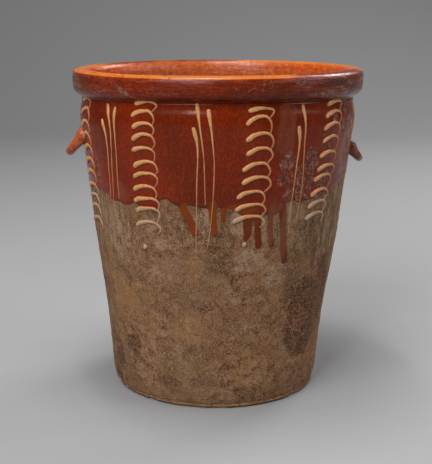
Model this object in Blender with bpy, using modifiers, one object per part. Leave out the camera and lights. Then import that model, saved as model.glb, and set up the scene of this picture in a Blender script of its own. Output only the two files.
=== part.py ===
"""Confit pot: a tall thrown earthenware jar with a rolled rim, two strap ears and trailed slip.

Lengths are in metres and angles in degrees. +Z is up, the pot stands on Z = 0 with its axis on Z,
and its ears lie on X. An azimuth is 0 at the front, -Y, and grows towards +X.
"""

import math

import bmesh
import bpy
from mathutils import Vector

# Body
HEIGHT = 0.334
BASE_RADIUS = 0.107
SHOULDER_RADIUS = 0.1422
FLOOR_THICKNESS = 0.012
FOOT_ROUNDING = 0.002
WALL_FOOT_THICKNESS = 0.012
WALL_TOP_THICKNESS = 0.009
TURNED_STEPS = 64

# Rim band, from the neck groove under it to the lip
RIM_BAND_HEIGHT = 0.0265
RIM_OVERHANG = 0.0092
NECK_GROOVE = 0.0014
SHOULDER_DROP = 0.0205

# Gap that touching pieces keep, and the distance under which points are joined
CLEARANCE = 0.0003
MERGE_DISTANCE = 0.00003

# Strap ears, each an arch that starts and ends inside the wall
EAR_STRAP_THICKNESS = {"handle_left": 0.01, "handle_right": 0.0085}
EAR_ROOT_THICKNESS = 0.0155
EAR_HALF_SPAN = 0.0175
EAR_REACH = {"handle_left": 0.0195, "handle_right": 0.0165}
EAR_DROOP = {"handle_left": 0.0135, "handle_right": 0.0095}
EAR_NECK_DISTANCE = {"handle_left": 0.0475, "handle_right": 0.0575}
EAR_AZIMUTHS = {"handle_left": -90, "handle_right": 90}
EAR_POINTS = 15
EAR_ROOT_ANGLE = 22
EAR_FLARE_POWER = 2
EAR_BEVEL_RESOLUTION = 3

# Slip trails
SLIP_NECK_DISTANCE = 0.001
SLIP_HEAD_WIDTH = 0.0042
SLIP_LINE_WIDTH = 0.003
SLIP_DROP_WIDTH = 0.005
SLIP_PROUD_SHARE = 0.5
FEATHER_PITCH = 0.012
FEATHER_SPAN = 0.024
FEATHER_RISE = 0.0055
LINE_LENGTH = 0.145
LINE_BOW = 0.004
LINE_BOW_POWER = 0.6
SLIP_BEVEL_RESOLUTION = 1
DROP_SEGMENTS = 8
DROP_RINGS = 6

# Wall outline: share of the shoulder's height, share of the way from the base radius to the shoulder's
WALL_SHARES = (
    (0.91, 0.93),
    (0.80, 0.83),
    (0.70, 0.735),
    (0.59, 0.63),
    (0.49, 0.515),
    (0.38, 0.38),
    (0.28, 0.27),
    (0.17, 0.18),
    (0.05, 0.09),
)
# Neck outline between the shoulder and the groove: share of the drop, share of the groove's depth
NECK_SHARES = ((0.25, 0.9), (0.5, 0.45), (0.75, 0.1))
# Lip: share of the way from the mouth to the band's face, share of the band's height
LIP_SHARES = (
    (0, 0.56),
    (0.04, 0.73),
    (0.11, 0.86),
    (0.22, 0.94),
    (0.36, 0.99),
    (0.53, 1),
    (0.69, 0.985),
    (0.82, 0.955),
    (0.92, 0.91),
    (0.975, 0.85),
)
# Face and underside of the band: share of its overhang, share of its height
BAND_SHARES = (
    (1, 0.64),
    (0.99, 0.51),
    (0.96, 0.41),
    (0.9, 0.31),
    (0.78, 0.22),
    (0.61, 0.15),
    (0.38, 0.1),
    (0.15, 0.05),
    (0, 0),
)

# Feather stroke: share of its span across, share of its rise, share of the head's width
STROKE_SHARES = (
    (0.00, 0.00, 0.85),
    (0.10, 0.40, 1.00),
    (0.34, 0.95, 0.78),
    (0.64, 1.00, 0.62),
    (0.90, 0.45, 0.48),
    (0.98, -0.50, 0.38),
)
# Its tail meets the next stroke at this share of the span, and this share of that stroke's rise
TAIL_MEETS_SHARES = (0.86, 0.58)
TAIL_WIDTH_SHARE = 0.28
# The top stroke's rise is cramped under the rim, to this share of the others' rise
TOP_RISE_SHARE = 0.45
# Feather columns: azimuth of the top and bottom heads, count of strokes, shares of pitch, rise and spans
FEATHERS = (
    {"azimuths": (-75, -77.5), "count": 11, "pitch_share": 1.04, "rise_share": 1, "span_shares": (0.95, 1.2)},
    {"azimuths": (-36, -38), "count": 11, "pitch_share": 0.95, "rise_share": 0.6, "span_shares": (0.85, 1.1)},
    {"azimuths": (9, 4.3), "count": 9, "pitch_share": 1.07, "rise_share": 1, "span_shares": (0.97, 1.25)},
    {"azimuths": (46, 38.7), "count": 10, "pitch_share": 1.02, "rise_share": 1, "span_shares": (0.95, 1.05)},
    {"azimuths": (125, 123), "count": 10, "pitch_share": 1.05, "rise_share": 0.9, "span_shares": (0.9, 1.1)},
    {"azimuths": (166, 163), "count": 11, "pitch_share": 1, "rise_share": 0.7, "span_shares": (0.85, 1.15)},
    {"azimuths": (-155, -158), "count": 10, "pitch_share": 1.08, "rise_share": 1, "span_shares": (0.95, 1.1)},
    {"azimuths": (-115, -116), "count": 9, "pitch_share": 1.1, "rise_share": 1, "span_shares": (0.85, 0.95)},
)
# Line groups: azimuth of the top and of the bottom of each line
LINE_AZIMUTHS = (
    {"left": (-54, -53), "middle": (-51, -54), "right": (-46.5, -47.5)},
    {"left": (-11.5, -11.5), "middle": (-10.5, -7.5), "right": (-6.3, -6.7)},
    {"left": (29.5, 29.5), "middle": (31, 33)},
    {"left": (68, 69), "middle": (70.5, 71), "right": (74, 73.5)},
    {"left": (109, 108.5), "middle": (111.5, 112), "right": (115, 114.5)},
    {"left": (147.5, 148), "middle": (150, 151), "right": (154, 153.5)},
    {"left": (-173, -174), "middle": (-170.5, -171), "right": (-166.5, -167)},
    {"left": (-134, -134.5), "middle": (-131, -131.5), "right": (-127, -128)},
)
# Shares of the full line length where the lines of each group start and end
LINE_RUN_SHARES = (
    {"left": (0.12, 0.64), "middle": (0, 1), "right": (0.02, 0.64)},
    {"left": (0.13, 0.95), "middle": (0, 0.62), "right": (0.02, 0.95)},
    {"left": (0.12, 0.84), "middle": (0, 0.75)},
    {"left": (0.14, 0.7), "middle": (0, 0.9), "right": (0.05, 0.65)},
    {"left": (0.1, 0.75), "middle": (0, 0.95), "right": (0.04, 0.8)},
    {"left": (0.13, 0.9), "middle": (0, 1), "right": (0.02, 0.7)},
    {"left": (0.1, 0.8), "middle": (0, 0.95), "right": (0.03, 0.9)},
    {"left": (0.12, 0.7), "middle": (0, 1), "right": (0.02, 0.85)},
)
# Line thickness along its length, as a share of its head's
LINE_HEAD_SHARE = 0.85
LINE_TAIL_SHARE = 0.35
LINE_BULGE_SHARE = 0.12
# Stray drops, each fallen from the last head of a feather column, by a share of the feather pitch
DROPS = (
    {"feather": 2, "azimuth": -35, "fall_share": 1.73},
    {"feather": 3, "azimuth": 9, "fall_share": 1.94},
)

neck_height = HEIGHT - RIM_BAND_HEIGHT
neck_radius = SHOULDER_RADIUS - NECK_GROOVE
shoulder_height = neck_height - SHOULDER_DROP
mouth_radius = neck_radius - WALL_TOP_THICKNESS
rim_radius = neck_radius + RIM_OVERHANG
slip_top = neck_height - SLIP_NECK_DISTANCE


def blend(start, end, share):
    """Value a share of the way from start to end."""
    return start + (end - start) * share


def clear_scene():
    """Remove every object that the file opened with."""
    for obj in list(bpy.data.objects):
        bpy.data.objects.remove(obj, do_unlink=True)


def new_collection(name, parent):
    collection = bpy.data.collections.new(name)
    parent.children.link(collection)
    return collection


def make_material(name, colour, roughness):
    """Principled material of a plain colour."""
    material = bpy.data.materials.new(name)
    material.use_nodes = True
    shader = material.node_tree.nodes["Principled BSDF"]
    shader.inputs["Base Color"].default_value = (*colour, 1)
    shader.inputs["Roughness"].default_value = roughness
    shader.inputs["Metallic"].default_value = 0
    material.diffuse_color = (*colour, 1)
    return material


def add_piece(name, data, material, collection):
    piece = bpy.data.objects.new(name, data)
    if material:
        data.materials.append(material)
    collection.objects.link(piece)
    return piece


def hide_cutter(cutter):
    """Keep a cutter or a joined stroke out of renders and show it as wire."""
    cutter.hide_render = True
    cutter.display_type = "WIRE"


def turned(name, outline, closed, material, collection):
    """Turn an outline of (radius, height) points about Z. It runs down its outer side first."""
    points = [(radius, 0, height) for radius, height in outline]
    edges = [(i, i + 1) for i in range(len(points) - 1)]
    if closed:
        edges.append((len(points) - 1, 0))
    mesh = bpy.data.meshes.new(name)
    mesh.from_pydata(points, edges, [])
    piece = add_piece(name, mesh, material, collection)
    screw = piece.modifiers.new("Turn", "SCREW")
    screw.axis = "Z"
    screw.angle = math.tau
    screw.steps = TURNED_STEPS
    screw.render_steps = TURNED_STEPS
    screw.use_merge_vertices = True
    screw.merge_threshold = MERGE_DISTANCE
    screw.use_smooth_shade = True
    return piece


def wall_outline():
    """Outer side of the body from the neck down to the ground, as (radius, height) points."""
    outline = [(neck_radius, neck_height)]
    for drop_share, groove_share in NECK_SHARES:
        height = neck_height - SHOULDER_DROP * drop_share
        outline.append((SHOULDER_RADIUS - NECK_GROOVE * groove_share, height))
    outline.append((SHOULDER_RADIUS, shoulder_height))
    for height_share, radius_share in WALL_SHARES:
        radius = blend(BASE_RADIUS, SHOULDER_RADIUS, radius_share)
        outline.append((radius, shoulder_height * height_share))
    outline.append((BASE_RADIUS, 0))
    return outline


def wall_radius(height):
    """Outer radius of the body at a height."""
    outline = wall_outline()
    for (top_radius, top), (bottom_radius, bottom) in zip(outline, outline[1:]):
        if height >= bottom:
            return blend(bottom_radius, top_radius, (height - bottom) / (top - bottom))
    return BASE_RADIUS


def wall_thickness(height):
    share = (height - FLOOR_THICKNESS) / (neck_height - FLOOR_THICKNESS)
    return blend(WALL_FOOT_THICKNESS, WALL_TOP_THICKNESS, share)


def make_base(material, collection):
    """Floor slab, with the foot rounded where it meets the ground."""
    edge_radius = wall_radius(FLOOR_THICKNESS)
    outline = [
        (0, FLOOR_THICKNESS),
        (edge_radius, FLOOR_THICKNESS),
        (wall_radius(FOOT_ROUNDING), FOOT_ROUNDING),
        (BASE_RADIUS - FOOT_ROUNDING, 0),
        (0, 0),
    ]
    return turned("base_slab", outline, False, material, collection)


def make_wall(material, collection):
    """Thrown wall, standing on the slab and thinner towards the top."""
    foot = FLOOR_THICKNESS + CLEARANCE
    outer = [point for point in wall_outline() if point[1] > foot]
    outer.append((wall_radius(foot), foot))
    inner = [(radius - wall_thickness(height), height) for radius, height in reversed(outer)]
    return turned("pot_wall", outer + inner, True, material, collection)


def make_rim(material, collection):
    """Rolled band on the top edge of the wall: lip, face, underside and seat."""
    seat = neck_height + CLEARANCE
    band_height = HEIGHT - seat
    lip = [
        (blend(mouth_radius, rim_radius, width_share), seat + band_height * height_share)
        for width_share, height_share in LIP_SHARES
    ]
    face = [
        (neck_radius + RIM_OVERHANG * overhang_share, seat + band_height * height_share)
        for overhang_share, height_share in BAND_SHARES
    ]
    return turned("rim_band", lip + face + [(mouth_radius, seat)], True, material, collection)


def make_wall_cutter(collection):
    """Solid of the body's outline with the clearance round it."""
    outer = [(radius + CLEARANCE, height) for radius, height in wall_outline()]
    top = (0, neck_height)
    bottom = (0, 0)
    cutter = turned("wall_cutter", [top, *outer, bottom], False, None, collection)
    hide_cutter(cutter)
    return cutter


def tube(name, path, thickness, width_shares, bevel_resolution, collection):
    """Mesh tube along a path, with capped ends. Each point's thickness is a share of the full one."""
    curve = bpy.data.curves.new(name, "CURVE")
    curve.dimensions = "3D"
    curve.bevel_depth = thickness / 2
    curve.bevel_resolution = bevel_resolution
    curve.use_fill_caps = True
    spline = curve.splines.new("POLY")
    spline.points.add(len(path) - 1)
    for point, place, share in zip(spline.points, path, width_shares):
        point.co = (*place, 1)
        point.radius = share
    source = bpy.data.objects.new(name + "_path", curve)
    collection.objects.link(source)
    bpy.context.view_layer.update()
    evaluated = source.evaluated_get(bpy.context.evaluated_depsgraph_get())
    mesh = bpy.data.meshes.new_from_object(evaluated)
    bpy.data.objects.remove(source)
    weld(mesh)
    mesh.name = name
    return mesh


def weld(mesh):
    """Join a tube's caps to its sides and turn its faces outwards."""
    work = bmesh.new()
    work.from_mesh(mesh)
    bmesh.ops.remove_doubles(work, verts=work.verts, dist=MERGE_DISTANCE)
    bmesh.ops.recalc_face_normals(work, faces=work.faces)
    work.to_mesh(mesh)
    work.free()
    mesh.shade_smooth()


def make_ear(name, material, collection):
    """Drooping strap ear, made on +X and turned to its side. Its thick ends are cut to the wall later."""
    root_height = neck_height - EAR_NECK_DISTANCE[name]
    wall = wall_radius(root_height)
    thickness = EAR_STRAP_THICKNESS[name]
    arch = EAR_REACH[name] - thickness / 2
    droop = EAR_DROOP[name]
    path = []
    width_shares = []
    strap_share = thickness / EAR_ROOT_THICKNESS
    for i in range(EAR_POINTS):
        turn = blend(-EAR_ROOT_ANGLE, 180 + EAR_ROOT_ANGLE, i / (EAR_POINTS - 1))
        out = math.sin(math.radians(turn))
        along = math.cos(math.radians(turn))
        path.append((wall + arch * out, EAR_HALF_SPAN * along, root_height - droop * out))
        flare = (1 - max(out, 0)) ** EAR_FLARE_POWER
        width_shares.append(blend(strap_share, 1, flare))
    mesh = tube(name, path, EAR_ROOT_THICKNESS, width_shares, EAR_BEVEL_RESOLUTION, collection)
    ear = add_piece(name, mesh, material, collection)
    ear.rotation_euler.z = math.radians(EAR_AZIMUTHS[name] - 90)
    return ear


def fit_to_wall(ear, wall_cutter):
    fit = ear.modifiers.new("Fit to wall", "BOOLEAN")
    fit.operation = "DIFFERENCE"
    fit.solver = "EXACT"
    fit.object = wall_cutter


def lay_on_wall(mesh, azimuth):
    """Bend a flat trail round the wall: X runs round it from the azimuth, Y is the height, Z the lift."""
    for vertex in mesh.vertices:
        across, height, lift = vertex.co
        radius = wall_radius(height)
        angle = math.radians(azimuth) + across / radius
        reach = radius + CLEARANCE + lift * SLIP_PROUD_SHARE
        vertex.co = (reach * math.sin(angle), -reach * math.cos(angle), height)


def slip_trail(name, route, width, width_shares, azimuth, collection):
    """Trail of slip along a flat route of (across, height) points, laid on the wall."""
    path = [(across, height, width * share / 2) for (across, height), share in zip(route, width_shares)]
    mesh = tube(name, path, width, width_shares, SLIP_BEVEL_RESOLUTION, collection)
    lay_on_wall(mesh, azimuth)
    return mesh


def stroke_places(feather):
    """Azimuth, head height, span and rise of each stroke in a column, and of one more below the last."""
    full_rise = FEATHER_RISE * feather["rise_share"]
    rise = full_rise * TOP_RISE_SHARE
    head = slip_top - rise - SLIP_HEAD_WIDTH / 2
    places = []
    for i in range(feather["count"] + 1):
        share = i / (feather["count"] - 1)
        azimuth = blend(*feather["azimuths"], share)
        span = FEATHER_SPAN * blend(*feather["span_shares"], share)
        places.append((azimuth, head, span, rise))
        rise = full_rise
        head -= FEATHER_PITCH * feather["pitch_share"]
    return places


def feather_stroke(name, place, next_place, collection):
    """One curled stroke: a thick head, an arch to the right and a thin tail down to the next stroke."""
    azimuth, head, span, rise = place
    next_azimuth, next_head, next_span, next_rise = next_place
    route = [
        (span * across_share, head + rise * rise_share)
        for across_share, rise_share, _ in STROKE_SHARES
    ]
    shift = math.radians(next_azimuth - azimuth) * wall_radius(next_head)
    meets_across_share, meets_rise_share = TAIL_MEETS_SHARES
    tail = (shift + next_span * meets_across_share, next_head + next_rise * meets_rise_share)
    width_shares = [width_share for _, _, width_share in STROKE_SHARES] + [TAIL_WIDTH_SHARE]
    return slip_trail(name, [*route, tail], SLIP_HEAD_WIDTH, width_shares, azimuth, collection)


def make_feather(number, feather, material, collection, cutters):
    """Column of strokes, each running into the next: the first one, and a collection of the others."""
    name = f"slip_feather_{number}"
    strokes_below = new_collection(name + "_strokes", cutters)
    places = stroke_places(feather)
    column = None
    for i, (place, next_place) in enumerate(zip(places, places[1:]), 1):
        stroke_name = f"{name}_stroke_{i}"
        mesh = feather_stroke(stroke_name, place, next_place, cutters)
        if column is None:
            column = add_piece(name, mesh, material, collection)
        else:
            hide_cutter(add_piece(stroke_name, mesh, None, strokes_below))
    return column, strokes_below


def join_strokes(column, strokes_below):
    join = column.modifiers.new("Join strokes", "BOOLEAN")
    join.operation = "UNION"
    join.solver = "EXACT"
    join.operand_type = "COLLECTION"
    join.collection = strokes_below


def make_line(name, azimuths, run_shares, material, collection):
    """Thin slip line with a rounded head, tapering as it runs down. It bends wherever the wall does."""
    top, bottom = (slip_top - SLIP_LINE_WIDTH / 2 - LINE_LENGTH * share for share in run_shares)
    neck = top - SLIP_LINE_WIDTH / 2
    bends = [height for _, height in wall_outline() if bottom < height < neck]
    lean = math.radians(azimuths[1] - azimuths[0])
    route = []
    width_shares = []
    for height in [top, neck, *bends, bottom]:
        share = (top - height) / (top - bottom)
        across = lean * wall_radius(height) * share + LINE_BOW * math.sin(math.pi * share**LINE_BOW_POWER)
        bulge = LINE_BULGE_SHARE * math.sin(math.pi * min(1, share * 2))
        route.append((across, height))
        width_shares.append(blend(LINE_HEAD_SHARE, LINE_TAIL_SHARE, share) + bulge)
    mesh = slip_trail(name, route, SLIP_LINE_WIDTH, width_shares, azimuths[0], collection)
    return add_piece(name, mesh, material, collection)


def make_drop(name, drop, material, collection):
    """Rounded blob of slip on the wall, below the feather column that it fell from."""
    *_, last_place, _ = stroke_places(FEATHERS[drop["feather"] - 1])
    last_head = last_place[1]
    work = bmesh.new()
    radius = SLIP_DROP_WIDTH / 2
    bmesh.ops.create_uvsphere(work, u_segments=DROP_SEGMENTS, v_segments=DROP_RINGS, radius=radius)
    centre = Vector((0, last_head - FEATHER_PITCH * drop["fall_share"], radius))
    bmesh.ops.translate(work, verts=work.verts, vec=centre)
    mesh = bpy.data.meshes.new(name)
    work.to_mesh(mesh)
    work.free()
    mesh.shade_smooth()
    lay_on_wall(mesh, drop["azimuth"])
    return add_piece(name, mesh, material, collection)


def main():
    clear_scene()
    scene_collection = bpy.context.scene.collection
    pot = new_collection("confit_pot", scene_collection)
    cutters = new_collection("cutters", scene_collection)

    bare_clay = make_material("Weathered bare clay", (0.19, 0.13, 0.085), 0.85)
    clay_wall = make_material("Thrown clay wall", (0.2, 0.075, 0.035), 0.6)
    red_glaze = make_material("Red-brown lead glaze", (0.24, 0.05, 0.015), 0.2)
    orange_glaze = make_material("Orange glaze on the ears", (0.36, 0.07, 0.02), 0.22)
    pale_slip = make_material("Pale glazed slip", (0.62, 0.42, 0.19), 0.35)

    make_base(bare_clay, pot)
    make_wall(clay_wall, pot)
    make_rim(red_glaze, pot)
    wall_cutter = make_wall_cutter(cutters)
    ears = [make_ear(name, orange_glaze, pot) for name in EAR_AZIMUTHS]
    feathers = [
        make_feather(number, feather, pale_slip, pot, cutters)
        for number, feather in enumerate(FEATHERS, 1)
    ]
    for number, (lines, run_shares) in enumerate(zip(LINE_AZIMUTHS, LINE_RUN_SHARES), 1):
        for side, azimuths in lines.items():
            make_line(f"slip_line_{number}_{side}", azimuths, run_shares[side], pale_slip, pot)
    for number, drop in enumerate(DROPS, 1):
        make_drop(f"slip_drop_{number}", drop, pale_slip, pot)

    # The cuts and joins come last, because each tube made after them would work them all out again
    for ear in ears:
        fit_to_wall(ear, wall_cutter)
    for column, strokes_below in feathers:
        join_strokes(column, strokes_below)


main()
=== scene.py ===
"""Confit pot: the thrown wall, rolled rim, strap ears, glaze and trailed slip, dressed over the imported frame.

Lengths are in metres and angles in degrees. An azimuth is 0 at the front, -Y, and grows towards +X.
"""

import math

import bpy
import numpy as np
from bpy.props import FloatProperty, FloatVectorProperty, IntProperty, PointerProperty
from mathutils import Matrix, Vector


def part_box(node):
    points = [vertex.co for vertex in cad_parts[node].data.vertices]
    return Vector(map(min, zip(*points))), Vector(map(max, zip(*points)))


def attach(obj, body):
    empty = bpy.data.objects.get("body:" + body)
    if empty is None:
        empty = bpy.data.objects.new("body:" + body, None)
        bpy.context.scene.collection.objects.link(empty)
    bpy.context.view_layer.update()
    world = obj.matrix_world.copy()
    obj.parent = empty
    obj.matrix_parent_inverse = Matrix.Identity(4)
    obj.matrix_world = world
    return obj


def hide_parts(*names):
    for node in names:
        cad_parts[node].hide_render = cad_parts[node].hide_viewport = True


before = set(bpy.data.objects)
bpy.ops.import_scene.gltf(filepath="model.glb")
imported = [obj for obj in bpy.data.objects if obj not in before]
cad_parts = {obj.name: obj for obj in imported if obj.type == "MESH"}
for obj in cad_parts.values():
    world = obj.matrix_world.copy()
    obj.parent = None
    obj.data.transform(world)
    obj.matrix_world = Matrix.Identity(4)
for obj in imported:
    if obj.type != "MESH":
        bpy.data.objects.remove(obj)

bl_info = {
    "name": "Confit pot",
    "version": (1, 0, 0),
    "blender": (4, 5, 0),
    "location": "3D View > Sidebar > Confit pot",
    "description": "Makes the pieces of a slip-trailed confit pot over its packed frame",
    "category": "Add Mesh",
}

WALL_FINISH = "Glazed and weathered wall"
SLIP_FINISH = "Trailed slip"
MM = 1000

# Turned outlines, read from the frame
WALL_NODE = "pot_wall"
FLOOR_NODE = "base_slab"
RIM_NODE = "rim_band"
RING_STEP = 0.0001
JOINT_GAP = 0.0003
OUTLINE_SOFTNESS = 0.0035
OUTLINE_SPREAD = (-2, -1.5, -1, -0.5, 0, 0.5, 1, 1.5, 2)
OVERRUN = 0.02
UNDERCUT = 0.0016

# Settled shape: the neck stands higher at front and back, and the rim leans
NECK_FADE = (0.255, 0.3075, 0.327)
LEAN_FADE = (0.2, 0.334)

# Shoulder under the neck, and the lip and groove round the foot: middle and half height
SHOULDER = (0.2955, 0.3025)
SHOULDER_DEPTH = 0.0008
FOOT_LIP = (0.0018, 0.0012)
FOOT_LIP_DEPTH = 0.0004
FOOT_GROOVE = (0.0045, 0.0008)
FOOT_GROOVE_DEPTH = 0.0006
FOOT_FADE = (-0.004, 0.006)

# Steps at the glaze's edge, as distances inside it: bare clay's end, the coat, and the bead along its edge
BARE_EDGE = (0.001, -0.001)
COAT_EDGE = (-0.0008, 0.0016)
BEAD = (0.0026, 0.002)
BEAD_SHARE = 0.6
FLAKE_DEPTH = 0.0005
FLAKE_EDGE = (0.55, 0.8)

# Lower edge of the glaze: azimuth, height in millimetres
GLAZE_EDGE = (
    (-180, 209), (-171, 206), (-163, 208), (-152, 212.5), (-141, 211), (-133, 207), (-124, 209.5),
    (-113, 214), (-104, 212), (-96, 210), (-84, 214), (-76, 217), (-71.7, 216.9), (-66.6, 216.8),
    (-59.3, 215.5), (-54.8, 213.7), (-52.8, 210.9), (-50.4, 209.6), (-47.2, 209.4), (-44.7, 207.8),
    (-41.8, 208.4), (-38.5, 212.3), (-36.8, 208.6), (-32.5, 208.4), (-28.3, 205.3), (-26.8, 214),
    (-26.1, 217), (-23.2, 218.6), (-21.3, 215.2), (-19.4, 212.9), (-13.8, 214), (-11.3, 212.7),
    (-7.7, 212), (2, 212.2), (4.9, 208.8), (6.8, 206.1), (10, 200), (14, 198.5), (16.6, 207.8),
    (18.2, 204.9), (22.3, 204.1), (27.6, 215.5), (28.8, 215.8), (30.4, 216.6), (33.1, 212.7),
    (39.3, 214.7), (43.5, 215.1), (48.1, 216.4), (52, 217.2), (59.4, 222.9), (64.3, 226.2),
    (71.7, 229.4), (78, 228), (86, 224), (95, 219), (104, 221), (113, 215), (121, 210), (130, 213),
    (139, 208), (147, 205), (156, 209), (166, 211), (174, 207),
)

# Runs of glaze: widths at the top and the end in millimetres, darkness, then azimuth and height of points
DRIPS = (
    (9, 7, 0.25, (-16.9, 214.2), (-15.4, 205.2), (-13, 195.7), (-11.6, 186.5)),
    (8, 6, 0.55, (-4.4, 210.6), (-4, 198.2), (-3.6, 186.7)),
    (6, 5, 0.5, (0, 210.7), (-0.1, 200.1)),
    (10, 5, 1, (10.1, 205), (10.1, 185.4), (9.5, 181)),
    (7, 7, 1, (14.1, 202), (15.2, 174)),
    (6, 6, 0.5, (19.7, 210), (20.1, 189.3), (21.4, 174)),
    (7.7, 7.7, 0.3, (25.4, 209), (27.3, 169.6), (28.5, 156.5)),
    (8, 6, 0.4, (118, 212), (117.5, 200), (118.2, 188)),
    (7, 7, 0.8, (137.5, 209), (138.3, 190), (137.8, 171)),
    (6, 5, 0.6, (161, 210), (161.5, 196), (161, 183)),
    (9, 7, 0.4, (-160, 208), (-160.5, 198), (-159.6, 187)),
    (6, 6, 0.9, (-147, 212), (-146.2, 195), (-147, 176)),
    (6, 5, 0.5, (-101, 212), (-100.5, 204), (-100.8, 195)),
)
DRIP_JOINING = 0.0025
DRIP_EDGE = 0.0015

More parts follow.
